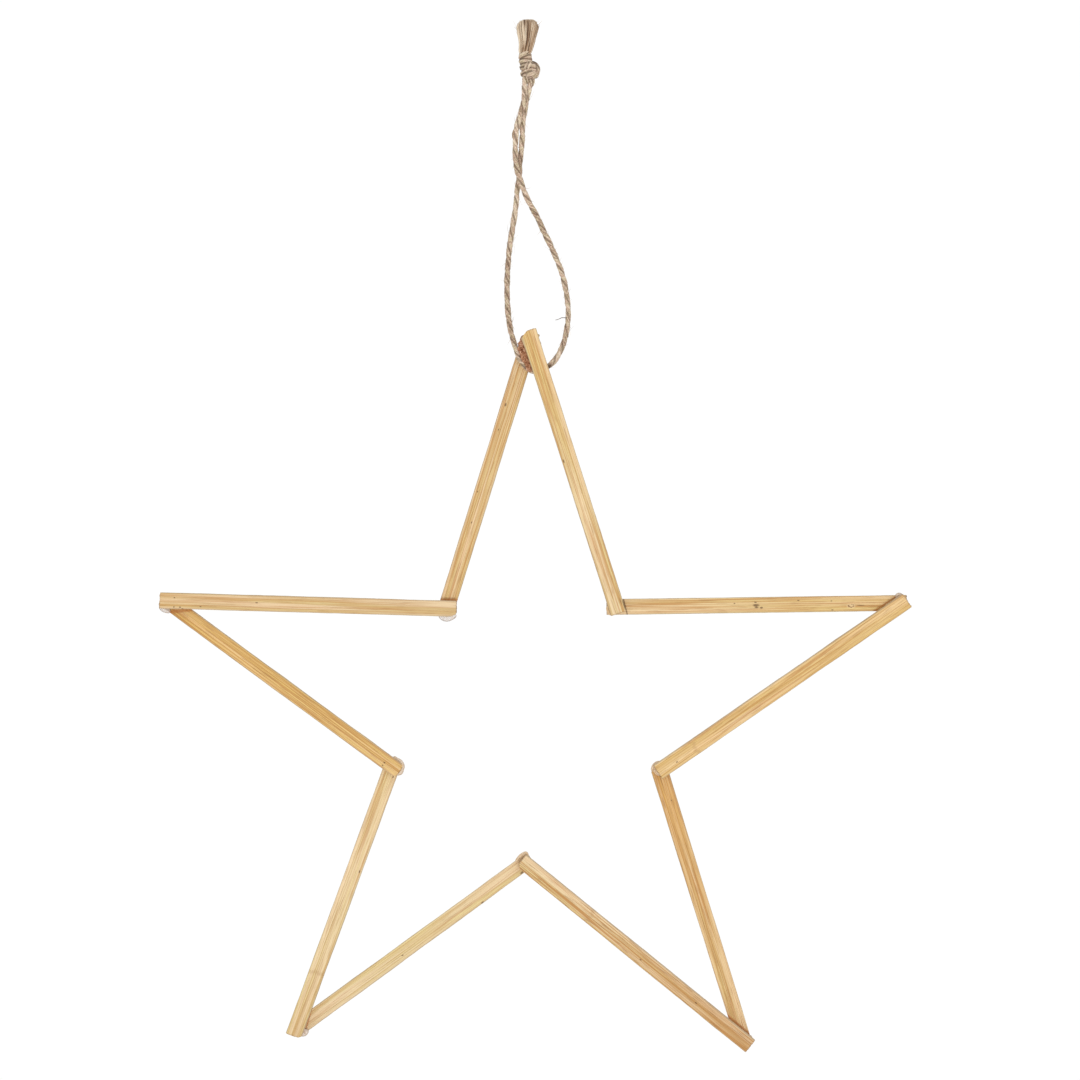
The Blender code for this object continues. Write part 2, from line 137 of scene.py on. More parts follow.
Splint = namedtuple("Splint", "name slot trim start_tint end_tint contrast ragged marks nodes stains "
                              "eyes worn", defaults=[(), (0, 0)])
SPLINTS = (
    Splint("stick_top_left", "bamboo_straw", (0.03, 0.07), (222, 193, 148), (224, 193, 142), 1.0, 0.20,
           ((505, 404, 0.8, 0.35), (498, 429, 0.45, 0.18), (477, 491, 0.45, 0.2), (471, 522, 0.5, 0.2)),
           (), ((441.0, 600.4, 457.0, 600.6, 1.5, LAP_SHADOW),)),
    Splint("stick_left_upper", "bamboo_straw", (0.16, 0.09), (220, 194, 151), (220, 189, 139), 0.75, 0.40,
           ((257, 602, 0.5, 0.25), (175, 597, 0.35, 0.22), (174.5, 606.3, 0.4, 0.25),
            (180.5, 606.5, 0.4, 0.28), (183, 608, 0.4, 0.2), (201, 606, 0.4, 0.22)), (), (), worn=(1.4, 0)),
    Splint("stick_left_lower", "bamboo_golden", (0.23, 0.2), (221, 179, 105), (231, 195, 128), 1.1, 0.18,
           ((384.7, 761.6, 0.5, 0.30), (382.8, 764.5, 0.4, 0.28)), (),
           ((174.0, 611.0, 191.0, 609.0, 1.0, LAP_SHADOW),)),
    Splint("stick_lower_left_outer", "bamboo_pale", (0.04, 0.15), (238, 213, 168), (235, 212, 164),
           0.75, 0.22, ((359, 871, 0.6, 0.3), (308.5, 1018.0, 0.5, 0.3), (392.5, 776.5, 0.55, 0.27)),
           ((314, 971),), (), worn=(0, 1.1)),
    Splint("stick_lower_left_inner", "bamboo_pale", (0.32, -0.04), (235, 212, 166), (230, 205, 158),
           0.6, 0.15, ((482, 902, 0.6, 0.3), (402, 955, 0.5, 0.25), (521.4, 872.4, 0.7, 0.42)), (),
           ((312.0, 1005.0, 305.0, 1030.0, 0.45, LAP_SHADOW),)),
    Splint("stick_lower_right_inner", "bamboo_amber", (0.08, 0.35), (233, 209, 163), (207, 165, 110),
           1.25, 0.22, ((695, 1001, 0.5, 0.25), (640, 958, 0.5, 0.22)), ((590, 915),), ()),
    Splint("stick_lower_right_outer", "bamboo_golden", (0.16, 0.07), (232, 205, 154), (210, 160, 81),
           1.1, 0.20, ((671, 800, 0.35, 0.16),), (), ((729.0, 1017.5, 750.0, 1034.7, 1.0, LAP_SHADOW),)),
    Splint("stick_right_lower", "bamboo_golden", (0.09, 0.3), (227, 193, 130), (227, 192, 133), 0.95, 0.50,
           ((676.0, 760.8, 0.5, 0.22),), ((694, 747),), ()),
    Splint("stick_right_upper", "bamboo_straw", (0.02, 0.17), (224, 192, 134), (226, 200, 150), 1.0, 0.22,
           ((755.6, 604.8, 1.25, 0.55), (756.2, 606.9, 0.8, 0.40), (761.0, 607.3, 0.65, 0.40),
            (734, 603, 0.4, 0.25), (755, 601.8, 0.55, 0.28), (860.5, 604.8, 1.5, 0.17),
            (798, 600, 0.5, 0.22), (831, 600.5, 0.4, 0.22), (832, 609.5, 0.5, 0.25),
            (906.6, 595.6, 0.5, 0.35)), (),
           ((880.0, 606.5, 892.0, 598.5, 0.45, LAP_SHADOW), (623.3, 600.0, 626.2, 611.5, 0.42, DARK_LAP_SHADOW)),
           ((850.8, 605.4, 1.5, 0.8),)),
    Splint("stick_top_right", "bamboo_straw", (0.13, 0.11), (225, 202, 155), (228, 199, 142), 0.95, 0.30,
           ((563, 461, 0.9, 0.3), (622.9, 604.0, 2.4, 0.16), (620.0, 601.0, 1.6, 0.12)), (), ()),
)

# The glue of each lap, counter-clockwise from the upper left notch: how thick it is where it
# squeezed out (mm), how brown with wood (a share), and its rim there, as places round the
# crossing (degrees, mm)
Squeeze = namedtuple("Squeeze", "node thick woody rim")
SQUEEZES = (
    Squeeze("glue_upper_left", 2.2, 0.0,
            ((222, 4.3), (238, 4.8), (256, 5.0), (278, 5.2), (300, 5.1), (320, 5.3), (330, 4.9))),
    Squeeze("glue_left_tip", 1.8, 0.1, ((225, 3.8), (245, 4.4), (262, 4.8), (283, 5.2), (293, 5.5))),
    Squeeze("glue_lower_left", 2.4, 0.60,
            ((290, 4.2), (309, 5.0), (322, 5.4), (338, 5.1), (360, 5.1), (374, 4.7), (392, 4.3), (405, 4.0),
             (414, 3.8), (428, 3.8), (441, 4.0))),
    Squeeze("glue_lower_left_tip", 1.9, 0.35, ((320, 4.1), (335, 4.8), (351, 5.4), (365, 5.5))),
    Squeeze("glue_bottom", 1.7, 0.85,
            ((68, 4.0), (83, 4.8), (97, 4.5), (111, 4.2), (138, 3.9), (160, 4.0), (174, 4.0))),
    Squeeze("glue_lower_right_tip", 1.4, 0.5, ((10, 3.4), (25, 3.8), (40, 3.5))),
    Squeeze("glue_lower_right", 1.8, 0.85,
            ((72, 3.7), (88, 4.0), (104, 4.0), (133, 3.9), (159, 3.7), (180, 3.4))),
    Squeeze("glue_right_tip", 1.8, 0.4, ((92, 3.5), (104, 4.2), (114, 4.5), (128, 4.5), (140, 4.2))),
    Squeeze("glue_upper_right", 2.2, 1.0, ((172, 3.9), (190, 4.2), (205, 4.4), (219, 4.6), (235, 4.4))),
)
GLUE_FILM = 0.9 * MM                 # thickness between the splints
GLUE_HIDDEN = 2.2 * MM               # radius that stays hidden between them
GLUE_RIM = 0.45 * MM                 # width of the greyer rim
GLUE_RISE = 1.1 * MM                 # over which it swells to its full thickness
GLUE_ROUND = 0.8 * MM                # radius of its outer edge
GLUE_WAVER = 0.20 * MM               # how much its outline wanders
# The grey of the glue's rim is painted shade where its rounded edge turns away
MILKY, WARM_MILKY, WOODY, RIM_SHADE_GREY = (242, 236, 234), (226, 206, 184), (236, 200, 150), (164, 144, 132)

# The knot and the brush of frayed ends, placed from the photograph
BALL_CENTRE = (0.6 * MM, 0.0, 4.1 * MM)
COLLAR_CENTRE = (-1.4 * MM, 0.0, 10.2 * MM)
BRUSH_FOOT = 9.4 * MM
BRUSH_TOP = 24.5 * MM

# The stage
WHITE_SEEN = 1.02                    # strength of the white that the camera sees
WHITE_FILL = 0.86                    # and of the white that lights the star
KEY_PLACE, KEY_AIM = (0.15, -1.45, -0.85), (0.0, 0.0, -0.2)
KEY_SIZE, KEY_POWER = 0.6, 19.5
FLOOR_RADIUS, FLOOR_DROP = 1.1, 0.25


def from_photo(x, y):
    """The star's own (sideways, height) of a pixel of the photograph."""
    return (x - HANGING_PIXEL[0]) * PIXEL, (HANGING_PIXEL[1] - y) * PIXEL


def linear(tint):
    """An sRGB tint, 0 to 255, as a linear colour."""
    shares = [c / 255 for c in tint]
    return (*(s / 12.92 if s <= 0.04045 else ((s + 0.055) / 1.055) ** 2.4 for s in shares), 1)


def unit(vectors):
    """The same directions, each with a length of one."""
    return vectors / np.linalg.norm(vectors, axis=-1, keepdims=True).clip(1e-12)


def lengths_up_to(points):
    """How far along a line of points each of them lies."""
    return np.concatenate([[0], np.cumsum(np.linalg.norm(np.diff(points, axis=0), axis=1))])


def lattice_noise(seed, x, y):
    """Smooth noise from 0 to 1 over the plane, with one bump to a unit."""
    column, row = np.floor(x).astype(np.int64), np.floor(y).astype(np.int64)
    across, up = x - column, y - row
    across, up = across * across * (3 - 2 * across), up * up * (3 - 2 * up)

    def at(i, j):
        mixed = (i * 374761393 + j * 668265263 + seed * 1442695041) & 0xFFFFFFFF
        mixed = ((mixed ^ (mixed >> 13)) * 1274126177) & 0xFFFFFFFF
        return ((mixed ^ (mixed >> 16)) & 0xFFFF) / 65535.0

    low = at(column, row) * (1 - across) + at(column + 1, row) * across
    high = at(column, row + 1) * (1 - across) + at(column + 1, row + 1) * across
    return low * (1 - up) + high * up


# Materials

class Wire:
    """A node's output. Operators on it, or on a number and it, add Math nodes."""

    def __init__(self, finish, socket):
        self.finish, self.socket = finish, socket

    def math(self, operation, *values):
        return self.finish.node("Math", {"operation": operation}, dict(enumerate(values)))

    def __add__(self, other):
        return self.math("ADD", self, other)

    def __radd__(self, other):
        return self.math("ADD", other, self)

    def __sub__(self, other):
        return self.math("SUBTRACT", self, other)

    def __rsub__(self, other):
        return self.math("SUBTRACT", other, self)

    def __mul__(self, other):
        return self.math("MULTIPLY", self, other)

    def __rmul__(self, other):
        return self.math("MULTIPLY", other, self)

    def __abs__(self):
        return self.math("ABSOLUTE", self)

    def smooth(self, low, high):
        """0 below low and 1 above high, or the other way round, with a soft step between."""
        return self.finish.node("MapRange", {"interpolation_type": "SMOOTHSTEP"},
                                {0: self, 1: low, 2: high, 3: 0.0, 4: 1.0})


class Finish:
    """A Principled material whose nodes are made one by one with node()."""

    def __init__(self, name, **values):
        self.material = bpy.data.materials.new(name)
        self.material.use_nodes = True
        self.tree = self.material.node_tree
        self.shader = self.tree.nodes["Principled BSDF"]
        for socket, value in values.items():
            self.feed(self.shader.inputs[socket.replace("_", " ")], value)

    def feed(self, socket, value):
        if isinstance(value, Wire):
            self.tree.links.new(value.socket, socket)
        else:
            socket.default_value = value

    def node(self, kind, settings=None, sockets=None, output=0):
        made = self.tree.nodes.new("ShaderNode" + kind)
        for key, value in (settings or {}).items():
            if key == "stops":
                ramp = made.color_ramp.elements
                while len(ramp) < len(value):
                    ramp.new(0.5)
                for stop, (place, colour) in zip(ramp, value):
                    stop.position, stop.color = place, colour
            else:
                setattr(made, key, value)
        for key, value in (sockets or {}).items():
            self.feed(made.inputs[key], value)
        return Wire(self, made.outputs[output])

    def mix(self, first, second, share):
        return self.node("Mix", {"data_type": "RGBA"}, {0: share, 6: first, 7: second}, output=2)

    def toward(self, colour, tint, share):
        """A colour mixed towards an sRGB tint."""
        return self.mix(colour, linear(tint), share)

    def cast(self, colour, share, *stops):
        """A colour multiplied by a ramp of linear tints."""
        cast = self.node("ValToRGB", {"stops": [(place, (*tint, 1)) for place, tint in stops]}, {0: share})
        return self.node("Mix", {"data_type": "RGBA", "blend_type": "MULTIPLY"},
                         {0: 1.0, 6: colour, 7: cast}, output=2)

    def ramp(self, share, *stops):
        """A ramp of sRGB tints."""
        stops = [(place, linear(tint)) for place, tint in stops]
        return self.node("ValToRGB", {"stops": stops}, {0: share})

    def place(self):
        """The place on the piece in its own axes, in millimetres."""
        return self.scaled(self.node("TexCoord", output="Object"), (1000, 1000, 1000))

    def lay(self):
        """The lay of the fibres, which the mesh carries."""
        return self.node("Attribute", {"attribute_name": "lay"}, output=1)

    def part(self, vector, axis):
        return self.node("SeparateXYZ", {}, {0: vector}, output=axis)

    def scaled(self, place, scale, shift=(0, 0, 0)):
        return self.node("VectorMath", {"operation": "MULTIPLY_ADD"}, {0: place, 1: scale, 2: shift})

    def noise(self, place, scale, seed, detail=1.0):
        """Noise from 0 to 1 with bumps of 1/scale along each axis."""
        moved = self.scaled(place, scale, (seed * 7.3, seed * 3.1, seed))
        return self.node("TexNoise", {}, {"Vector": moved, "Scale": 1.0, "Detail": detail})

    def split_lines(self, along, across, scale, seed):
        """Distance from the nearest border between long cells, in cells."""
        place = self.node("CombineXYZ", {}, {0: along * scale[0] + seed, 1: across * scale[1] + seed})
        return self.node("TexVoronoi", {"voronoi_dimensions": "2D", "feature": "DISTANCE_TO_EDGE"},
                         {"Vector": place, "Scale": 1.0})

    def paint(self, base, roughness, height, depth):
        """Feeds the shader its colour, its roughness and a bump of the given depth in metres."""
        bump = self.node("Bump", {}, {"Height": height, "Distance": depth, "Strength": 1.0})
        self.feed(self.shader.inputs["Base Color"], base)
        self.feed(self.shader.inputs["Roughness"], roughness)
        self.feed(self.shader.inputs["Normal"], bump)
        return self.material


def bamboo_finish(splint, skin, seed):
    """Split bamboo: lengthwise fibres, dark streaks and dashes, greyer edges, marks, painted lap shadows and
    nodes.
    """
    finish = Finish(splint.name + "_split_bamboo")
    place = finish.place()
    along, across, deep = (finish.part(place, axis) for axis in range(3))
    fibre = finish.noise(place, (0.045, 2.8, 2.8), seed, 2.0)
    band = finish.noise(place, (0.016, 1.1, 1.1), seed + 11)
    drift = finish.noise(place, (0.02, 0.22, 0.3), seed + 23)
    dash = finish.noise(place, (0.16, 3.6, 3.6), seed + 51, 0.0)
    hue = finish.noise(place, (0.012, 0.55, 0.55), seed + 61)
    lines = finish.split_lines(along, across + deep, (0.011, 1.2), seed + 0.5)
    threads = finish.split_lines(along, across + deep, (0.026, 2.3), seed + 7.5)

    half_length = skin.half_length / MM
    progress = finish.node("MapRange", {}, {0: along, 1: -half_length, 2: half_length, 3: 0.0, 4: 1.0})
    tint = finish.mix(linear(splint.start_tint), linear(splint.end_tint), progress)
    tint = finish.cast(tint, hue, (0.36, (1.03, 0.965, 1.0)), (0.50, (1, 1, 1)), (0.64, (0.99, 1.02, 0.86)))
    tone = fibre * 0.62 + band * 0.20 + drift * 0.12
    contrast = (tone - 0.47) * (1.8 * splint.contrast) + 0.5
    colour = finish.cast(tint, contrast, (0.0, (0.70, 0.60, 0.46)), (0.5, (1, 1, 1)),
                         (1.0, (1.15, 1.19, 1.28)))

    streaks = lines.smooth(0.22, 0.07) * band.smooth(0.38, 0.60)
    colour = finish.toward(colour, STREAK, streaks * (0.68 * splint.contrast))
    strands = threads.smooth(0.26, 0.08) * hue.smooth(0.44, 0.60)
    colour = finish.toward(colour, STRAND, strands * (0.50 * splint.contrast))
    gleams = threads.smooth(0.24, 0.08) * hue.smooth(0.52, 0.38)
    colour = finish.toward(colour, GLEAM, gleams * 0.30)
    dashes = dash.smooth(0.63, 0.74)
    colour = finish.toward(colour, DASH, dashes * (0.42 * splint.contrast))

    edge = skin.half_width / MM - sum(splint.trim) / 2
    # Greyer long edges: partly the bamboo's own skin edge, partly painted shade where the rounded edges turn
    # from the light
    rim = (abs(across) + fibre * 0.35).smooth(edge - 0.38, edge + 0.12)
    colour = finish.toward(colour, EDGE_SKIN_AND_SHADE, rim * 0.60)
    cut = (abs(along) + fibre * 0.5).smooth(half_length - 0.30, half_length + 0.25)
    colour = finish.toward(colour, CUT_END, cut * 0.6)

    wander = finish.noise(place, (1.3, 1.3, 1.3), seed + 71, 2.0)
    broken = finish.noise(place, (1.6, 3.0, 1.0), seed + 81).smooth(0.38, 0.56)
    front = deep.smooth(-0.6, 0.6)

    def out_from(x, y, long, wide):
        """How far out from a spot on the front, in its own half-lengths and half-widths."""
        u, v = skin.local(*from_photo(x, y))
        apart = finish.scaled(place, (1 / long, 1 / wide, 0), (-u / MM / long, -v / MM / wide, 0))
        return finish.node("VectorMath", {"operation": "LENGTH"}, {0: apart}, output=1)

    for mark in splint.marks:
        away = out_from(*mark) + wander * 0.8
        colour = finish.toward(colour, MARK, away.smooth(1.75, 0.9) * front * 0.78)
    # Painted shadow along each lap, where the front splint shades the wood behind it
    for x0, y0, x1, y1, wide, shadow_tint in splint.stains:
        start, end = np.array(skin.local(*from_photo(x0, y0))), np.array(skin.local(*from_photo(x1, y1)))
        way = (end - start) / np.linalg.norm(end - start)
        off = (along - start[0] / MM) * way[1] - (across - start[1] / MM) * way[0]
        near = (abs(off) + fibre * (0.3 * wide)).smooth(1.15 * wide, 0.45 * wide)
        colour = finish.toward(colour, shadow_tint, near * front * 0.72)
    for eye in splint.eyes:
        away = out_from(*eye) + wander * 0.9
        colour = finish.toward(colour, EYE, away.smooth(2.0, 1.2) * front * 0.6)
        ring = away.smooth(0.80, 0.95) * away.smooth(1.50, 1.15) * broken
        colour = finish.toward(colour, EYE_RIM, ring * front * 0.95)
    for x, y in splint.nodes:
        u, _ = skin.local(*from_photo(x, y))
        away = abs(along - u / MM + band * 5.0 - 2.5)
        colour = finish.toward(colour, NODE, away.smooth(1.3, 0.1) * 0.32)
    height = fibre * 0.6 + band * 0.5 - streaks * 0.4 - dashes * 0.2
    return finish.paint(colour, 0.50 + fibre * 0.25, height, 0.10 * MM)


def glue_finish():
    """Set hot-melt glue: milky and smooth, half clear, greyer at its rounded rim.

    The mesh says how brown with wood it is in the x of its lay, and how near the rim in the z."""
    finish = Finish("milky_glue", IOR=1.46)
    lay = finish.lay()
    woody, rim = finish.part(lay, 0), finish.part(lay, 2)
    cloud = finish.noise(finish.place(), (0.9, 0.9, 0.9), 13)
    colour = finish.mix(linear(MILKY), linear(WARM_MILKY), cloud.smooth(0.35, 0.70))
    colour = finish.toward(colour, WOODY, woody)
    # Painted shade greys the rounded rim, less where the glue shows the wood
    colour = finish.toward(colour, RIM_SHADE_GREY, rim * (0.80 - woody * 0.45))
    finish.feed(finish.shader.inputs["Alpha"], rim * 0.35 + woody * 0.30 + 0.50)
    return finish.paint(colour, 0.24, cloud, 0.10 * MM)


def bark_finish():
    """Rough reddish bark in short flakes along the wedge."""
    finish = Finish("flaky_bark")
    place = finish.place()
    flake = finish.noise(place, (1.3, 1.3, 0.7), 5, 3.0)
    speck = finish.noise(place, (3.2, 3.2, 2.0), 9)
    height = finish.part(place, 2)
    colour = finish.ramp(flake * 0.55 + speck * 0.45, (0.34, (102, 58, 36)), (0.44, (148, 96, 64)),
                         (0.54, (182, 130, 96)), (0.66, (228, 190, 160)))
    pale = height.smooth(-106.5, -102.5) * 0.35 + height.smooth(-114.8, -117.0) * 0.55
    colour = finish.toward(colour, (190, 146, 120), pale)
    return finish.paint(colour, 0.92, flake + speck * 0.5, 0.30 * MM)


def jute_finish(name):
    """Laid jute: straw, tan and brown fibres along the plies, darker in the creases.

    The mesh says how the fibres lie: metres along in x, radians round the ply in y, and how deep
    in the crease between the plies in z, which is below 0 on a pale crown."""
    finish = Finish(name, Sheen_Weight=0.12, Sheen_Roughness=0.6)
    lay = finish.lay()
    place = finish.node("TexCoord", output="Object")
    fibre = finish.noise(lay, (360, 3.4, 0.0), 3, 2.0)
    thread = finish.noise(lay, (90, 1.3, 0.0), 8)
    patch = finish.noise(place, (110, 110, 110), 4)
    mottle = finish.noise(place, (1500, 1500, 1500), 12)
    crease = finish.part(lay, 2)
    tone = fibre * 0.72 + thread * 0.42 + patch * 0.30 + mottle * 0.42 - 0.42
    colour = finish.ramp(tone, (0.26, (106, 82, 64)), (0.38, (152, 127, 104)), (0.50, (192, 169, 144)),
                         (0.60, (215, 195, 171)), (0.76, (243, 228, 207)))
    hue = finish.noise(place, (620, 620, 620), 17)
    colour = finish.cast(colour, hue, (0.38, (1.04, 0.97, 0.98)), (0.50, (1, 1, 1)),
                         (0.62, (0.98, 1.01, 0.92)))
    # Painted shade in the creases and at the leg's shadow spot, and a painted highlight where the value is
    # below 0 on a crown
    colour = finish.toward(colour, (96, 70, 48), crease * 0.60)
    colour = finish.toward(colour, (246, 226, 198), crease * -0.60)
    return finish.paint(colour, 0.90, fibre + thread * 0.5, 0.14 * MM)


def fray_finish():
    """Loose jute fibres: each has its own tone, from dark brown to pale straw."""
    finish = Finish("loose_jute", Sheen_Weight=0.1, Sheen_Roughness=0.6)
    lay = finish.lay()
    along = finish.noise(lay, (300, 40, 0.0), 6)
    colour = finish.ramp(finish.part(lay, 2) + along * 0.35 - 0.17, (0.05, (82, 54, 34)),
                         (0.32, (142, 108, 76)), (0.60, (188, 160, 130)), (0.95, (233, 215, 189)))
    return finish.paint(colour, 0.85, along, 0.03 * MM)


def floor_finish():
    """Plain pale studio floor."""
    finish = Finish("pale_floor")
    place = finish.node("TexCoord", output="Object")
    grain = finish.noise(place, (40, 40, 40), 2, 3.0)
    colour = finish.mix((0.78, 0.78, 0.77, 1), (0.83, 0.83, 0.82, 1), grain)
    return finish.paint(colour, 0.7, grain, 0.1 * MM)


# Meshes

def add_object(name, data):
    made = bpy.data.objects.new(name, data)
    bpy.context.scene.collection.objects.link(made)
    return made


class Shape:
    """Closed shells gathered into one piece, with the lay of the fibres at each point."""

    def __init__(self):
        self.points, self.faces, self.lay, self.count = [], [], [], 0

    def add(self, points, faces, lay=None):
        self.points.append(points)
        self.faces += [tuple(f) for f in (np.asarray(faces) + self.count).tolist()]
        self.lay.append(np.zeros((len(points), 3)) if lay is None else lay)
        self.count += len(points)

    def piece(self, name, material, slot, nodes=(), sharp=None):
        """Makes the piece, rides it on the star's body and lets it stand for the named nodes."""
        mesh = bpy.data.meshes.new(name)
        mesh.from_pydata(np.concatenate(self.points).tolist(), [], self.faces)
        mesh.attributes.new("lay", "FLOAT_VECTOR", "POINT").data.foreach_set(
            "vector", np.concatenate(self.lay).astype(np.float32).ravel())
        mesh.shade_smooth()
        if sharp:
            mesh.set_sharp_from_angle(angle=math.radians(sharp))
        mesh.materials.append(material)
        piece = add_object(name, mesh)
        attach(piece, "root")
        if nodes:
            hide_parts(*nodes)
        return piece


def ring_faces(rings, sides):
    """Faces between rings of points that follow one another, as index quads."""
    ring, side = np.meshgrid(np.arange(rings - 1), np.arange(sides), indexing="ij")
    after = (side + 1) % sides
    return np.stack([ring * sides + side, ring * sides + after,
                     (ring + 1) * sides + after, (ring + 1) * sides + side], -1).reshape(-1, 4)


def box_shell(counts):
    """The outer lattice points and the outward faces of a box of counts cells."""
    outer = np.ones([c + 1 for c in counts], bool)
    outer[1:-1, 1:-1, 1:-1] = False
    index = np.cumsum(outer).reshape(outer.shape) - 1
    faces = []
    for axis in range(3):
        for end in (0, -1):
            sheet = np.take(index, end, axis=axis)
            quads = np.stack([sheet[:-1, :-1], sheet[1:, :-1], sheet[1:, 1:], sheet[:-1, 1:]], -1)
            quads = quads.reshape(-1, 4)
            faces.append(quads[:, ::-1] if (end == 0) != (axis == 1) else quads)
    return np.argwhere(outer), np.concatenate(faces)


class SplintSkin:
    """The lines and outline of a splint's solid, and a finely fibrous skin over it."""

    EDGE = 0.4 * MM                   # rounding of the long edges
    ALONG, ACROSS, DEEP = 300, 28, 8  # cells of the skin
    LOOSE_END = 0.7 * MM              # how far in from a cut end its fibres part
    FLARE_RUN = 4.5 * MM              # how far in from its end a flare fades
    RIDGE, GROOVE = 0.07, 0.10        # fibres and splits on the faces (mm)
    EASE = 0.9                        # how much closer the cells are towards the ends

    def __init__(self, node):
        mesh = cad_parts[node].data
        points = np.array([v.co for v in mesh.vertices])
        self.tree = BVHTree.FromPolygons([v.co for v in mesh.vertices],
                                         [tuple(p.vertices) for p in mesh.polygons])
        # The spread of the faces' normals has the splint's own axes. The cube of the area leaves
        # that to the long faces, and the small ones of a cut corner don't turn them.
        normals = np.array([p.normal for p in mesh.polygons])
        weights = np.array([p.area / MM ** 2 for p in mesh.polygons]) ** 3
        _, axes = np.linalg.eigh((normals * weights[:, None]).T @ normals)
        along, normal = axes[:, 0], axes[:, 2]
        middle = (points.min(0) + points.max(0)) / 2
        outward = np.array([middle[0] - middle_of_star.x, middle[2] - middle_of_star.y])
        if outward[0] * along[2] - outward[1] * along[0] < 0:
            along = -along
        if normal[1] > 0:
            normal = -normal
        self.axes = np.stack([along, np.cross(normal, along), normal])
        reach = points @ self.axes.T
        low, high = reach.min(0), reach.max(0)
        self.centre = (low + high) / 2 @ self.axes
        self.half_length, self.half_width, self.half_depth = (high - low) / 2

    def local(self, x, z):
        """(along, across) of a place given sideways and in height."""
        d = np.array([x, self.centre[1], z]) - self.centre
        return d @ self.axes[0], d @ self.axes[1]

    def reach(self, start, direction):
        """How far the solid reaches from a place in its own axes, in a direction along one."""
        origin = self.centre + np.asarray(start) @ self.axes
        *_, far = self.tree.ray_cast(Vector(origin), Vector(np.asarray(direction, float) @ self.axes))
        return far

    def width_at(self):
        """Half-width as a straight function of the place along."""
        places = np.array([-0.6, 0.6]) * self.half_length
        widths = [(self.reach((u, 0, 0), (0, 1, 0)) + self.reach((u, 0, 0), (0, -1, 0))) / 2 for u in places]
        slope = (widths[1] - widths[0]) / (places[1] - places[0])
        return lambda u: widths[0] + slope * (u - places[0])

    def ends_at(self, shares):
        """The two ends' places along, at each share of the half-width."""
        inside = np.clip(shares, -0.95, 0.95) * self.width_at()(0.0)
        high = np.array([self.reach((0, v, 0), (1, 0, 0)) or self.half_length for v in inside])
        low = np.array([-(self.reach((0, v, 0), (-1, 0, 0)) or self.half_length) for v in inside])
        return low, high

    def skin(self, splint, seed, flare=0.0):
        """Points and faces of the fibrous skin, in the splint's own axes. Its far end may flare."""
        ragged, trim, worn = splint.ragged, splint.trim, splint.worn
        lattice, faces = box_shell((self.ALONG, self.ACROSS, self.DEEP))
        edge_v, edge_n = self.EDGE / self.half_width, self.EDGE / self.half_depth
        columns = self.spaced(self.ACROSS, edge_v)
        layers = self.spaced(self.DEEP, edge_n)
        share = np.linspace(0, 1, self.ALONG + 1)
        share = share - self.EASE * np.sin(2 * math.pi * share) / (2 * math.pi)
        low, high = self.ends_at(columns)
        corner_share = np.clip(columns, 0, 1) ** 4
        low, high = low + worn[0] * MM * corner_share, high - worn[1] * MM * corner_share
        v = columns[lattice[:, 1]] * self.half_width
        n = layers[lattice[:, 2]] * self.half_depth
        start, end = low[lattice[:, 1]], high[lattice[:, 1]]
        u = start + (end - start) * share[lattice[:, 0]]

        # Fibres of unequal length at the cut ends
        grain = lattice_noise(seed, v / MM * 2.6, n / MM * 2.2) - 0.5
        grain += 0.7 * (lattice_noise(seed + 1, v / MM * 6, n / MM * 5) - 0.5)
        for tip, way in ((start, -1), (end, 1)):
            fade = np.exp(-np.abs(u - tip) / self.LOOSE_END)
            u = u + way * (grain - 0.3) * ragged * MM * fade

        # Long edges rounded from the square section
        deep_v = np.abs(v) - (self.half_width - self.EDGE)
        deep_n = np.abs(n) - (self.half_depth - self.EDGE)
        corner = (deep_v > 0) & (deep_n > 0)
        shrink = np.where(corner, np.maximum(deep_v, deep_n) / np.hypot(deep_v, deep_n).clip(1e-9), 1)
        v = np.where(corner, np.sign(v) * (self.half_width - self.EDGE + deep_v * shrink), v)
        n = np.where(corner, np.sign(n) * (self.half_depth - self.EDGE + deep_n * shrink), n)

        # Ridges of fibre along the faces, and an edge that wanders a little
        v = v * self.width_at()(u) / self.half_width
        side = 7 * (n > 0)
        ridge = lattice_noise(seed + 2, u / MM * 0.05, v / MM * 1.4 + side)
        ridge += 0.6 * lattice_noise(seed + 3, u / MM * 0.12, v / MM * 3.2 + side)
        groove = np.abs(lattice_noise(seed + 4, u / MM * 0.016, v / MM * 0.8 + side) - 0.5)
        lift = self.RIDGE * (ridge - 0.8) - self.GROOVE * np.exp(-(groove / 0.05) ** 2)
        lift = lift * np.clip((self.half_width - np.abs(v)) / (0.5 * MM), 0, 1)
        lift -= 0.08 * (lattice_noise(seed + 5, u / MM * 0.09, n * 0 + side) - 0.5)
        n = n + n / self.half_depth * lift * MM
        edge = 0.14 * (lattice_noise(seed + 6, u / MM * 0.07, np.sign(v) * 9) - 0.5)
        edge += 0.08 * (lattice_noise(seed + 7, u / MM * 0.35, np.sign(v) * 9 + n / MM * 2) - 0.5)
        v = v + v / self.half_width * edge * MM
        inner, outer = np.clip(v / self.half_width, 0, 1), np.clip(-v / self.half_width, 0, 1)
        v = v - trim[0] * MM * inner + trim[1] * MM * outer
        v = v + flare * inner * np.exp(-(self.half_length - u) / self.FLARE_RUN)
        return np.stack([u, v, n], 1), faces

    @staticmethod
    def spaced(cells, edge):
        """Shares from -1 to 1 with closer steps in the rounded edges."""
        inner = np.linspace(edge - 1, 1 - edge, cells - 3)
        return np.concatenate([[-1, -1 + 0.35 * edge], inner, [1 - 0.35 * edge, 1]])


def centre_of_star():
    """The star's middle, as (sideways, height)."""
    boxes = [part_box(splint.name) for splint in SPLINTS]
    middles = [(low + high) / 2 for low, high in boxes]
    return Vector((sum(m.x for m in middles), sum(m.z for m in middles))) / len(middles)


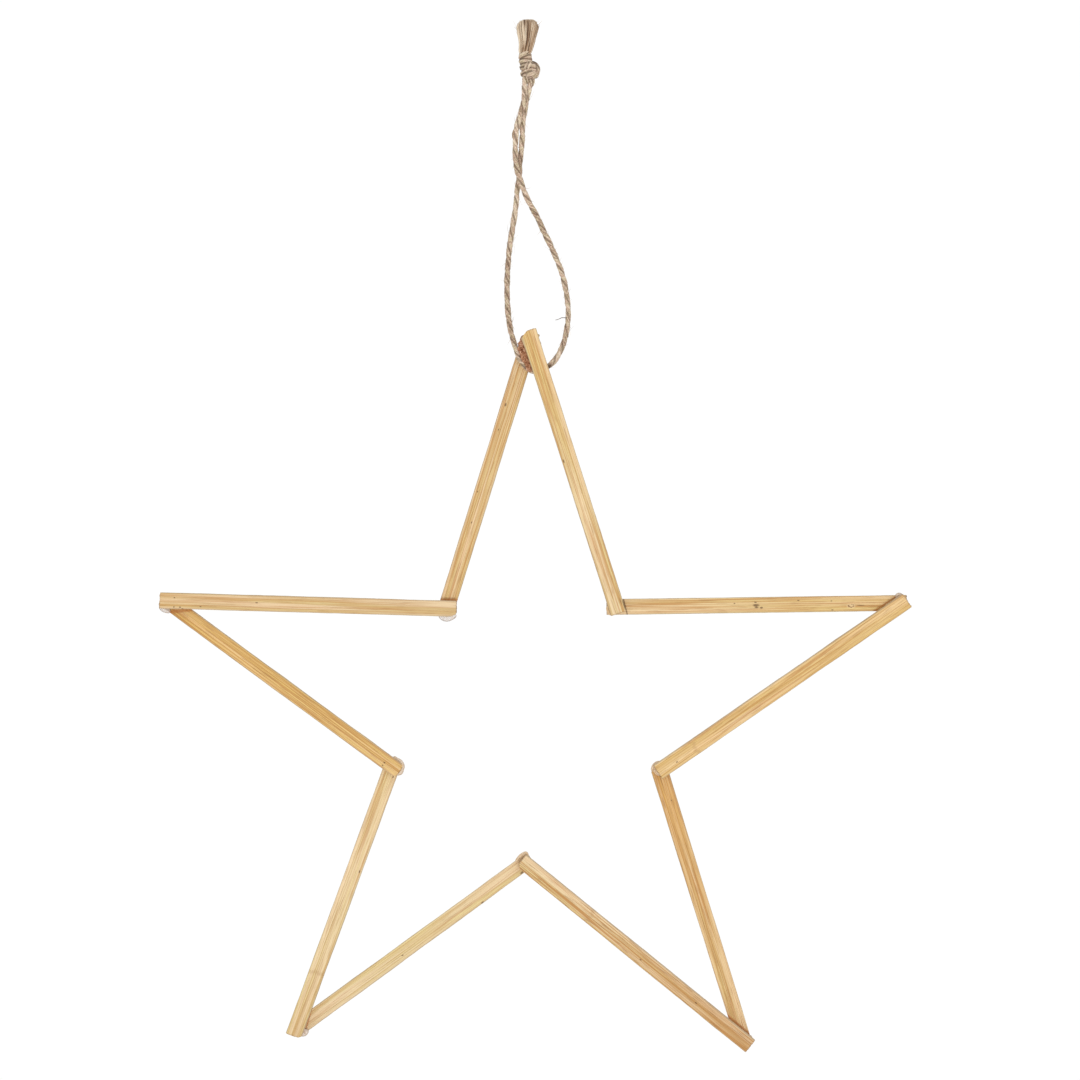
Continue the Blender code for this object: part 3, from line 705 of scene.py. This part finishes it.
def make_splints():
    skins = []
    for index, splint in enumerate(SPLINTS):
        skin = SplintSkin(splint.name)
        skins.append(skin)
        flare = TOP_FLARE if splint.name == "stick_top_right" else 0.0
        points, faces = skin.skin(splint, 40 * index, flare)
        shape = Shape()
        shape.add(points, faces)
        piece = shape.piece(splint.name + "_bamboo", bamboo_finish(splint, skin, 3 * index + 1),
                            splint.slot, [splint.name], sharp=60)
        piece.matrix_world = matrix_of(skin)
    return skins


def matrix_of(skin):
    turn = Matrix([list(row) for row in skin.axes]).transposed().to_4x4()
    turn.translation = Vector(skin.centre)
    return turn


def crossing(first, second):
    """Where two splints' centre lines cross, as (sideways, height), and the depth between them."""
    p, q = first.centre, second.centre
    a, b = first.axes[0], second.axes[0]
    grid = np.array([[a[0], -b[0]], [a[2], -b[2]]])
    s, t = np.linalg.solve(grid, [q[0] - p[0], q[2] - p[2]])
    return p[0] + s * a[0], p[2] + s * a[2], (p[1] + s * a[1] + q[1] + t * b[1]) / 2


def glue_reach(squeeze, angle):
    """How far a lap's glue reaches at each angle: its rim, with soft shoulders down to the film."""
    degrees, reach = np.array(squeeze.rim, float).T
    shoulder = 14
    degrees = np.concatenate([[degrees[0] - shoulder], degrees, [degrees[-1] + shoulder]])
    film = GLUE_HIDDEN / MM
    reach = np.concatenate([[film], reach, [film]])
    turn = (np.degrees(angle) - degrees[0]) % 360 + degrees[0]
    sharp = np.interp(turn, degrees, reach, right=film)
    near = [np.roll(sharp, k) for k in (-2, -1, 0, 1, 2)]
    return sum(near) / len(near) * MM


def make_glue(skins):
    """Each lap's glue: a film between the splints that swells where it was squeezed out."""
    finish = glue_finish()
    sides, steps = 96, 18
    angle = np.arange(sides) * 2 * math.pi / sides
    for index, squeeze in enumerate(SQUEEZES):
        x, z, depth = crossing(skins[index], skins[index + 1])
        reach = glue_reach(squeeze, angle)
        reach = reach + GLUE_WAVER * (lattice_noise(60 + index, angle * 2.2, angle * 0) - 0.5)
        swell_share = np.clip((reach - GLUE_HIDDEN) / (1.0 * MM), 0, 1)
        rings, lay = [], []
        for face in (-1, 1):
            for step in range(steps + 1):
                out = math.sin(math.pi / 2 * step / steps) if step else 0.02
                swell = swell_share * np.clip((out * reach - GLUE_HIDDEN) / GLUE_RISE, 0, 1)
                thick = GLUE_FILM + (squeeze.thick * MM - GLUE_FILM) * swell
                edge = (1 - (1 - out) * reach / GLUE_ROUND).clip(0, 1)
                height = depth + face * thick / 2 * np.sqrt(1 - edge ** 2)
                rings.append(np.stack([x + out * reach * np.cos(angle), height,
                                       z + out * reach * np.sin(angle)], 1))
                rim = np.clip((out * reach - reach + GLUE_RIM) / GLUE_RIM, 0, 1)
                lay.append(np.stack([squeeze.woody + 0 * rim, 0 * rim, rim], 1))
        order = [*range(steps + 1), *range(2 * steps, steps, -1)]
        shape = Shape()
        add_strand(shape, np.array([rings[i] for i in order]), np.array([lay[i] for i in order]), sides)
        shape.piece(squeeze.node + "_squeezed", finish, "glue", [squeeze.node])


def bark_outline(count):
    """Even places along the outline of the bark's solid, as (sideways, height), counter-clockwise."""
    points = np.array([v.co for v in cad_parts["bark_spacer"].data.vertices])
    front = points[points[:, 1] < points[:, 1].min() + 0.1 * MM][:, [0, 2]]
    around = front - front.mean(0)
    corners = front[np.argsort(np.arctan2(around[:, 1], around[:, 0]))]
    corners = np.concatenate([corners, corners[:1]])
    far = lengths_up_to(corners)
    goal = np.arange(count) * far[-1] / count
    return np.stack([np.interp(goal, far, corners[:, k]) for k in range(2)], 1), abs(points[:, 1]).max()


def make_bark(twine):
    """The wedge of bark: layers of torn flakes, with a front lip moulded over the twine."""
    count, caps, layers = 220, 24, 22
    outline, half = bark_outline(count)
    lip = lip_outline(outline)
    near = np.array(twine)[:, [0, 2]]
    near = near[near[:, 1] < outline[:, 1].max() + LIP_REACH]
    depths = np.linspace(-half, half, layers)
    sheets = []
    for depth in depths:
        # Every layer reaches out towards the lip as far as the round twine lets it.
        clear = math.sqrt(max(0.0, TWINE_CLEAR ** 2 - depth ** 2)) if depth < 0 else TWINE_CLEAR
        share, free = np.zeros(count), np.ones(count, bool)
        for step in np.linspace(0.05, 1, 20):
            tried = outline + (lip - outline) * step
            apart = np.linalg.norm(tried[:, None] - near[None], axis=2).min(1)
            free &= apart > clear
            share = np.where(free, step, share)
        sheets.append(outline + (lip - outline) * share[:, None])
    over = np.clip(np.linalg.norm(sheets[0] - outline, axis=1) / LIP_BLEND, 0, 1)
    over = over * np.clip((LIP_FREE - sheets[0][:, 0]) / LIP_BLEND, 0, 1)
    middle = outline.mean(0)
    shares = 1 - np.linspace(0, 0.97, caps) ** 1.3
    rings = [(middle + (sheets[0] - middle) * k, -half, k, 1.0) for k in shares[::-1][:-1]]
    rings += [(sheet, depth, 1.0, float(depth < -0.8 * half)) for sheet, depth in zip(sheets, depths)]
    rings += [(middle + (sheets[-1] - middle) * k, half, k, 0.0) for k in shares[1:]]
    away = unit(sheets[0] - middle)
    points = []
    for flat, depth, share, front in rings:
        x, z = (flat / MM).T
        y = depth / MM
        flake = lattice_noise(31, x * 0.9 + y * 0.5, z * 0.55 + y * 0.6)
        flake = np.floor(flake * 4) / 4 + 0.5 * lattice_noise(32, x * 2.4 + y, z * 1.7 + y * 1.7)
        torn = lattice_noise(33, x * 1.6, z * 1.1 + y * 2.0) - 0.5
        side = 1.0 if share == 1.0 else 0.0
        ragged = TORN_EDGE * torn * (0.35 + 0.65 * front) - 0.05 * MM
        flat = flat + away * (side * ragged)[:, None]
        capped = abs(depth) > 0.999 * half
        lifted = over * front * np.clip((share - 0.55) / 0.3, 0, 1)
        sunk = np.sign(depth) * FLAKE_DEPTH * flake * capped * (1 - 0.75 * lifted) * (0.4 if side else 1.0)
        points.append(np.stack([flat[:, 0], depth - sunk - LIP_LIFT * lifted * capped, flat[:, 1]], 1))
    shape = Shape()
    add_strand(shape, np.array(points), np.zeros((len(points), count, 3)), count)
    shape.piece("bark_wedge_rough", bark_finish(), "bark", ["bark_spacer"])


def lip_outline(outline):
    """The bark's outline at its front, over the twine: its corners go to those of BARK_LIP."""
    corners, places = (np.array([pair[i] for pair in BARK_LIP]) * MM for i in range(2))
    shift = places - corners
    apart = np.linalg.norm(outline[:, None] - corners[None], axis=2)
    weight = 1 / (apart + 0.25 * MM) ** 3
    return outline + (weight[:, :, None] * shift[None]).sum(1) / weight.sum(1)[:, None]


def smooth_route(points, step):
    """Even steps along a smooth curve through the given points."""
    points = np.array(points, float)
    padded = np.concatenate([[2 * points[0] - points[1]], points, [2 * points[-1] - points[-2]]])
    fine = []
    for a, b, c, d in zip(padded, padded[1:], padded[2:], padded[3:]):
        t = np.linspace(0, 1, 40, endpoint=False)[:, None]
        fine.append(0.5 * (2 * b + (c - a) * t + (2 * a - 5 * b + 4 * c - d) * t ** 2
                           + (3 * b - a - 3 * c + d) * t ** 3))
    fine = np.concatenate([*fine, points[-1:]])
    far = lengths_up_to(fine)
    goal = np.linspace(0, far[-1], round(far[-1] / step) + 1)
    return np.stack([np.interp(goal, far, fine[:, k]) for k in range(3)], 1), goal


def carried_frames(route):
    """Two directions across the route at each point, carried along without twisting."""
    ahead = unit(np.gradient(route, axis=0))
    first = np.cross(ahead[0], (0, 1, 0.001))
    frames = []
    for t in ahead:
        first = first - t * (first @ t)
        first = first / np.linalg.norm(first)
        frames.append((first, np.cross(t, first)))
    return np.array(frames)


def laid_twine(route, along, seed, size=1.0):
    """Rings of a two-ply twine along a route, and the lay of its fibres at each point."""
    frames = carried_frames(route)
    turn = -2 * math.pi * along / TWINE_PITCH + 0.5 * lattice_noise(seed, along / MM * 0.11, along * 0)
    sides = 2 * PLY_SIDES
    centre, radial, tangent = (s * size * MM for s in PLY_SECTION)
    round_ply = np.linspace(-1, 1, PLY_SIDES, endpoint=False) + 1 / PLY_SIDES
    swing = round_ply * math.radians(PLY_SWING)
    run = along[:, None] / MM
    swell = 1 + 0.16 * (lattice_noise(seed + 1, along / MM * 0.16, along * 0)[:, None] - 0.5)
    rings, lay = [], []
    for ply in range(2):
        fibre = lattice_noise(seed + 2 + ply, run * 0.22, swing * 5.5 + run * 0.35)
        strand = lattice_noise(seed + 5 + ply, run * 0.45, swing * 2.3 - run * 0.2)
        puff = swell * (1 + 0.17 * (fibre - 0.5) + 0.16 * (strand - 0.5))
        out = centre + radial * puff * np.cos(swing)
        aside = tangent * puff * np.sin(swing)
        angle = turn[:, None] + ply * math.pi
        a = out * np.cos(angle) - aside * np.sin(angle)
        b = out * np.sin(angle) + aside * np.cos(angle)
        rings.append(route[:, None] + a[..., None] * frames[:, None, 0] + b[..., None] * frames[:, None, 1])
        # Painted shade in the crease between the two plies
        crease = np.clip((np.abs(swing) - 1.25) / 0.6, 0, 1) + 0 * along[:, None]
        turned = swing + 0.9 * along[:, None] / MM / 3 + 9 * ply
        lay.append(np.stack([along[:, None] + 0 * swing, turned, crease], -1))
    return np.concatenate(rings, 1), np.concatenate(lay, 1), sides


def add_strand(shape, rings, lay, sides):
    """Adds a strand's rings to a shape, closed at both ends."""
    count = len(rings)
    first = shape.count
    middles = np.stack([rings[0].mean(0), rings[-1].mean(0)])
    points = np.concatenate([rings.reshape(-1, 3), middles])
    values = np.concatenate([lay.reshape(-1, 3), lay[[0, -1], 0]])
    shape.add(points, ring_faces(count, sides), values)
    foot, head = first + count * sides, first + count * sides + 1
    for i in range(sides):
        j = (i + 1) % sides
        shape.faces.append((first + j, first + i, foot))
        last = first + (count - 1) * sides
        shape.faces.append((last + i, last + j, head))


def hairs(starts, directions, lengths, radii, bends, tones):
    """Thin tapering fibres: arrays of starts, unit directions, lengths, radii and sideways bends."""
    t = np.linspace(0, 1, 7)[None, :, None]
    routes = starts[:, None] + lengths[:, None, None] * (directions[:, None] * t + bends[:, None] * t ** 2)
    return tubes(routes, radii, tones)


def tubes(routes, radii, tones, sides=4, taper=0.75):
    """Points, faces and lay of tapering tubes along routes of shape (count, points, 3)."""
    count, points, _ = routes.shape
    ahead = unit(np.gradient(routes, axis=1))
    across = unit(np.cross(ahead, (0.31, 0.86, 0.41)))
    up = np.cross(ahead, across)
    share = np.linspace(0, 1, points)[None, :]
    width = radii[:, None] * (1 - taper * share ** 2)
    angle = np.arange(sides) * 2 * math.pi / sides
    rings = routes[:, :, None] + width[:, :, None, None] * (
        across[:, :, None] * np.cos(angle)[:, None] + up[:, :, None] * np.sin(angle)[:, None])
    faces = ring_faces(points, sides)
    faces = (faces[None] + (np.arange(count) * points * sides)[:, None, None]).reshape(-1, 4)
    ends = np.arange(count) * points * sides
    caps = [tuple(range(e + sides - 1, e - 1, -1)) for e in ends]
    caps += [tuple(range(e + (points - 1) * sides, e + points * sides)) for e in ends]
    far = np.concatenate([np.zeros((count, 1)),
                          np.cumsum(np.linalg.norm(np.diff(routes, axis=1), axis=2), axis=1)], 1)
    lay = np.zeros((count, points, sides, 3))
    lay[..., 0] = far[:, :, None]
    lay[..., 1] = (np.arange(count) * 1.7)[:, None, None]
    lay[..., 2] = np.reshape(tones, (count, -1, 1))
    return rings.reshape(-1, 3), faces, caps, lay.reshape(-1, 3)


def add_tubes(shape, made):
    points, faces, caps, lay = made
    base = shape.count
    shape.add(points, faces, lay)
    shape.faces += [tuple(base + i for i in cap) for cap in caps]


def make_twine():
    """The two legs, laid as one length of twine and parted at its lowest point."""
    right, left = list(RIGHT_LEG), list(LEFT_LEG)
    head = (right[0][0] + KNOT_LEAN, right[0][1], right[0][2] + KNOT_TAIL)
    tail = (left[-1][0] - KNOT_LEAN, left[-1][1], left[-1][2] + KNOT_TAIL)
    route, along = smooth_route([head, *right, LOW_POINT, *left, tail], RING_STEP)
    rings, lay, sides = laid_twine(route, along, 100)
    # Painted shadow: the leg darkens round that spot
    shadowed = np.linalg.norm(rings - np.array(TWINE_SHADOW_SPOT), axis=2) / TWINE_SHADOW_RADIUS
    lay[..., 2] = np.maximum(lay[..., 2], 2 * np.exp(-shadowed ** 2))
    low = int(np.argmin(np.linalg.norm(route - np.array(LOW_POINT), axis=1)))
    jute = jute_finish("laid_jute")
    fray = fray_finish()
    legs = {}
    for name, part, reverse in (("twine_right_leg", slice(0, low + 1), True),
                                ("twine_left_leg", slice(low, None), False)):
        shape = Shape()
        add_strand(shape, rings[part], lay[part], sides)
        leg = shape.piece(name, jute, "jute_twine", ["twine_loop"])
        path = route[part][::-1] if reverse else route[part]
        fuzz = make_fuzz(name + "_fuzz", route[part], rings[part], fray, 7 if reverse else 8)
        legs[name] = (leg, path, fuzz)
    return legs, route, jute, fray


def make_fuzz(name, route, rings, fray, seed):
    """Short loose fibres that stand off a leg of the twine."""
    random = np.random.default_rng(seed)
    count = FUZZ_FIBRES
    at = random.integers(4, len(route) - 4, count)
    side = random.integers(0, rings.shape[1], count)
    starts = rings[at, side]
    outward = unit(starts - route[at])
    ahead = unit(route[at + 3] - route[at - 3])
    way = np.where(random.random(count) < 0.5, 1, -1)[:, None]
    lean = random.uniform(0.25, 1.1, (count, 1))
    directions = unit(way * ahead + lean * outward + random.normal(0, 0.15, (count, 3)))
    bends = random.normal(0, 0.35, (count, 3)) - 0.2 * outward
    lengths = random.uniform(0.8, 2.4, count) * MM
    lengths[random.random(count) < 0.10] *= 1.9
    radii = random.uniform(0.030, 0.055, count) * MM
    shape = Shape()
    add_tubes(shape, hairs(starts - 0.1 * MM * outward, directions, lengths, radii, bends,
                           random.uniform(0.25, 1.0, count)))
    return shape.piece(name, fray, "jute_twine")


def ellipse_arc(centre, first, second, rise, start, stop, steps=24):
    """Points along an arc, with a rise from its start to its end. Angles in degrees, sizes in mm."""
    t = np.radians(np.linspace(start, stop, steps))[:, None]
    share = np.linspace(-0.5, 0.5, steps)[:, None]
    return (np.array(centre) + np.cos(t) * first + np.sin(t) * second + share * np.array(rise)) * MM


def make_knot(jute):
    """The overhand knot: turns of twine round a core, a smaller collar and one turn on its right.

    What lies deep between the turns is marked as crease, so that it is darker."""
    x, y, z = (c / MM for c in BALL_CENTRE)
    cx, cy, cz = (c / MM for c in COLLAR_CENTRE)
    turns = (
        # size, painted highlight and arc: lower, middle and upper turns round the ball
        (0.98, 0.0, ((x - 0.2, y, z - 1.8), (2.60, 0, -0.30), (0, -2.30, 0.3), (0, 0, 0.5), 0, 372)),
        (1.00, 0.0, ((x - 0.20, y, z + 0.1), (2.90, 0, -0.85), (0, -2.60, -0.25), (0, 0, 0.7), -20, 352)),
        (0.94, 0.2, ((x - 0.60, y, z + 1.95), (2.45, 0, -0.70), (0, -2.20, 0.2), (0, 0, 0.5), 10, 380)),
        # the turn that runs up the right side, over the others
        (0.98, 0.1, ((x + 0.75, y - 0.4, z), (0.35, -2.6, -2.9), (2.25, -0.5, 0.3), (0, 0, 0), -25, 175)),
        # two strands that come forward through the turns and go back in
        (1.00, 0.9, ((x - 0.85, y - 2.5, z + 1.25), (0.4, 0, 0.7), (0.1, -1.45, 0.1), (0, 0, 0), -20, 200)),
        (1.10, 0.45, ((x + 0.35, y - 2.3, z - 1.75), (1.05, 0, 0.15), (0, -1.6, -0.1), (0, 0, 0), -20, 200)),
        # a thin turn over the ball, and the two of the collar
        (0.72, 0.2, ((cx + 0.25, cy, cz - 2.75), (2.10, 0, -0.25), (0, -1.95, 0.1), (0, 0, 0.4), 0, 370)),
        (0.80, 0.3, ((cx + 0.05, cy, cz - 0.75), (1.75, 0, 0.30), (0, -1.70, 0.1), (0, 0, 0.5), 0, 370)),
        (0.74, 0.5, ((cx - 0.1, cy, cz + 0.65), (1.70, 0, 0.75), (0, -1.60, -0.2), (0, 0, 0.45), 0, 370)),
    )
    shape = Shape()
    for index, (size, shine, arc) in enumerate(turns):
        route, along = smooth_route(ellipse_arc(*arc), RING_STEP)
        rings, lay, sides = laid_twine(route, along + 0.004 * index, 200 + 10 * index, size)
        # Painted shade deep between the turns, and a painted highlight where a turn's crown is made pale
        middle = np.array(arc[0]) * MM
        out = np.linalg.norm((rings - middle)[..., :2], axis=2)
        out -= np.linalg.norm((route - middle)[:, :2], axis=1)[:, None]
        out /= size * TWINE_DIAMETER / 2
        deep, crown = np.clip(0.70 - 1.2 * out, 0, 1), np.clip(out, 0, 1)
        lay[..., 2] = 1.5 * np.maximum(lay[..., 2], deep) - shine * crown
        add_strand(shape, rings, lay, sides)
    cores = (((x - 0.1, y, z), (3.25, 3.0, 3.7)), ((cx, cy, cz - 0.9), (1.7, 1.6, 2.9)),
             ((-0.75, 0, 8.3), (2.3, 2.1, 1.6)), ((0.1, 0.5, -0.1), (1.2, 0.8, 1.3)))
    for centre, radii in cores:
        add_core(shape, centre, radii)
    return shape.piece("twine_knot_tied", jute, "jute_twine", ["twine_knot"])


def add_core(shape, centre, radii, rings=14, sides=20):
    """A plain round body of fibre that fills the inside of the knot."""
    lat = np.linspace(-0.97, 0.97, rings) * math.pi / 2
    lon = np.arange(sides) * 2 * math.pi / sides
    points = np.stack([np.cos(lat)[:, None] * np.cos(lon), np.cos(lat)[:, None] * np.sin(lon),
                       np.sin(lat)[:, None] + 0 * lon], -1)
    points = (np.array(centre) + points * radii) * MM
    # Painted shade: the core is as dark as a deep crease, since it lies inside the knot
    lay = np.stack([points[..., 2], points[..., 0] / MM, 0.9 + 0 * points[..., 0]], -1)
    base = shape.count
    shape.add(points.reshape(-1, 3), ring_faces(rings, sides), lay.reshape(-1, 3))
    shape.faces.append(tuple(range(base + sides - 1, base - 1, -1)))
    last = base + (rings - 1) * sides
    shape.faces.append(tuple(range(last, last + sides)))


# The brush of frayed ends: share of its height, middle sideways, half-width and half-depth (mm)
BRUSH = ((0.0, -1.35, 1.4, 1.3), (0.146, -1.28, 2.55, 2.0), (0.205, -1.08, 2.65, 2.1),
         (0.33, -0.74, 2.9, 2.3), (0.437, -0.62, 3.2, 2.5), (0.62, -0.50, 3.85, 2.8),
         (0.755, -0.34, 4.25, 3.0), (1.0, -0.25, 4.5, 3.1))

# Its dark partings, painted shade where the fibres part: share sideways and spread, share of its height and
# spread, and how dark
PARTINGS = ((0.04, 0.08, 0.45, 0.45, 0.75), (0.24, 0.09, 0.48, 0.22, 0.60), (-0.26, 0.07, 0.92, 0.14, 0.65),
            (-0.35, 0.30, 0.20, 0.13, 0.42))


def make_brush(fray):
    """The two cut ends above the knot, frayed into a flaring brush with dark partings."""
    random = np.random.default_rng(5)
    count, points, clumps = 560, 14, 60
    share, middle, width, depth = np.array(BRUSH).T
    angle = random.uniform(0, 2 * math.pi, clumps)
    radius = np.sqrt(random.uniform(0, 1, clumps))
    clump = random.integers(0, clumps, count)
    side = (radius * np.cos(angle))[clump] + random.normal(0, 0.10, count)
    deep = (radius * np.sin(angle))[clump] + random.normal(0, 0.10, count)
    far = np.hypot(side, deep)
    side, deep = side / far.clip(1), deep / far.clip(1)
    tip = 1.0 - 0.19 * np.abs(side) ** 4 - 0.06 * np.abs(deep) ** 2 - random.uniform(0, 0.045, count)
    h = np.linspace(0, 1, points)[None] * tip[:, None]
    sway = random.normal(0, 0.10, (clumps, 2))[clump] + random.normal(0, 0.05, (count, 2))
    lean = sway[:, None] * (h[..., None] - 0.6)
    size = random.normal(0, 0.02, (count, 2))[:, None]
    wave = size * np.sin(h * random.uniform(2, 6, (count, 1)))[..., None]
    a = (side[:, None] + wave[..., 0] + lean[..., 0]).clip(-1.04, 1.04)
    b = (deep[:, None] + wave[..., 1] + lean[..., 1]).clip(-1.04, 1.04)
    routes = np.stack([(np.interp(h, share, middle) + np.interp(h, share, width) * a) * MM,
                       np.interp(h, share, depth) * b * MM,
                       BRUSH_FOOT + (BRUSH_TOP - BRUSH_FOOT) * h], -1)
    tones = random.uniform(0.36, 0.88, clumps)[clump] + random.normal(0, 0.12, count)
    tones = (tones + 0.20 * (side < -0.30) - 0.10 * (side > 0.75))[:, None] + 0.10 * h ** 3
    # Painted shade along the partings
    for place, width_of, height, spread, dark in PARTINGS:
        away = ((side[:, None] - place) / width_of) ** 2 + ((h - height) / spread) ** 2
        tones = tones - dark * np.exp(-away)
    radii = random.uniform(0.12, 0.22, count) * MM
    shape = Shape()
    add_tubes(shape, tubes(routes, radii, tones.clip(0.05, 1), 5, 0.45))
    stray = 40
    angle = random.uniform(0, 2 * math.pi, stray)
    foot = random.uniform(0.2, 0.9, stray)
    starts = np.stack([(np.interp(foot, share, middle) + np.interp(foot, share, width) * np.cos(angle)) * MM,
                       np.interp(foot, share, depth) * np.sin(angle) * MM,
                       BRUSH_FOOT + (BRUSH_TOP - BRUSH_FOOT) * foot], 1)
    directions = np.stack([0.5 * np.cos(angle), 0.5 * np.sin(angle), 0.8 + 0 * angle], 1)
    add_tubes(shape, hairs(starts, directions, random.uniform(1.2, 3.6, stray) * MM,
                           random.uniform(0.03, 0.05, stray) * MM, random.normal(0, 0.3, (stray, 3)),
                           random.uniform(0.4, 1.0, stray)))
    return shape.piece("twine_brush_frayed", fray, "jute_twine", ["twine_tassel"])


# Fibres that stand off the twine, as places in the photograph
STRAY_FIBRE = ((566.2, 317.6), (563.5, 317.4), (561.0, 317.5), (558.8, 318.6), (556.8, 319.4),
               (554.7, 319.8))
LOOSE_LOOP = ((516.0, 124.0), (514.2, 127.5), (512.6, 130.6), (511.9, 133.6), (512.0, 136.6), (513.4, 140.5))


def make_stray_fibres(fray):
    """One dark fibre that stands off the right leg, and a loose loop of fibres higher up on it."""
    random = np.random.default_rng(11)
    shape = Shape()
    route = np.array([(x, -0.9 * MM - 0.15 * MM * i, z)
                      for i, (x, z) in enumerate(from_photo(*p) for p in STRAY_FIBRE)])
    add_tubes(shape, tubes(route[None], np.array([0.16 * MM]), np.array([0.08]), 6, 0.5))
    count = 22
    loop = np.array([(x, -0.8 * MM, z) for x, z in (from_photo(*p) for p in LOOSE_LOOP)])
    chord = np.linspace(loop[0], loop[-1], len(loop))
    bulge = np.linspace(0.2, 1.0, count)[:, None, None]
    spread = random.normal(0, 0.14 * MM, (count, 1, 3)) + random.normal(0, 0.05 * MM, (count, len(loop), 3))
    add_tubes(shape, tubes(chord + (loop - chord) * bulge + spread, random.uniform(0.08, 0.13, count) * MM,
                           random.uniform(0.35, 0.85, count), 5, 0.3))
    return shape.piece("twine_stray_fibres", fray, "jute_twine")


# Stage

def make_camera():
    data = bpy.data.cameras.new("front camera")
    data.lens, data.sensor_width = LENS, SENSOR
    data.clip_end = 20
    camera = add_object("front camera", data)
    x, z = from_photo(MIDDLE_PIXEL, MIDDLE_PIXEL)
    camera.location = (x, -FRAME_WIDTH * LENS / SENSOR, z)
    camera.rotation_euler = (math.pi / 2, 0, 0)
    bpy.context.scene.camera = camera


def make_light():
    data = bpy.data.lights.new("soft key", "AREA")
    data.size, data.energy = KEY_SIZE, KEY_POWER
    light = add_object("soft key", data)
    light.location = KEY_PLACE
    light.rotation_euler = (Vector(KEY_AIM) - Vector(KEY_PLACE)).to_track_quat("-Z", "Y").to_euler()


def make_stage():
    """A white room without shadows, one large soft light and a pale floor well below."""
    scene = bpy.context.scene
    scene.view_settings.view_transform = "Standard"
    world = bpy.data.worlds.new("white room")
    scene.world = world
    world.use_nodes = True
    nodes, links = world.node_tree.nodes, world.node_tree.links
    seen, fill = nodes["Background"], nodes.new("ShaderNodeBackground")
    for light, strength in ((seen, WHITE_SEEN), (fill, WHITE_FILL)):
        light.inputs["Color"].default_value = (1, 1, 1, 1)
        light.inputs["Strength"].default_value = strength
    path, choice = nodes.new("ShaderNodeLightPath"), nodes.new("ShaderNodeMixShader")
    links.new(path.outputs["Is Camera Ray"], choice.inputs[0])
    links.new(fill.outputs[0], choice.inputs[1])
    links.new(seen.outputs[0], choice.inputs[2])
    links.new(choice.outputs[0], nodes["World Output"].inputs["Surface"])
    make_light()
    bpy.ops.mesh.primitive_circle_add(vertices=96, radius=FLOOR_RADIUS, fill_type="NGON",
                                      location=(0, 0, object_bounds()[0].z - FLOOR_DROP))
    floor = bpy.context.object
    floor.name = "floor"
    floor.data.materials.append(floor_finish())


middle_of_star = centre_of_star()
make_camera()
legs, twine_line, jute, fray = make_twine()
knot = make_knot(jute)
brush = make_brush(fray)
stray = make_stray_fibres(fray)
for name, (leg, path, fuzz) in legs.items():
    pieces = [fuzz, stray, knot, brush] if name == "twine_right_leg" else [fuzz]
skins = make_splints()
make_glue(skins)
make_bark(twine_line)
make_stage()
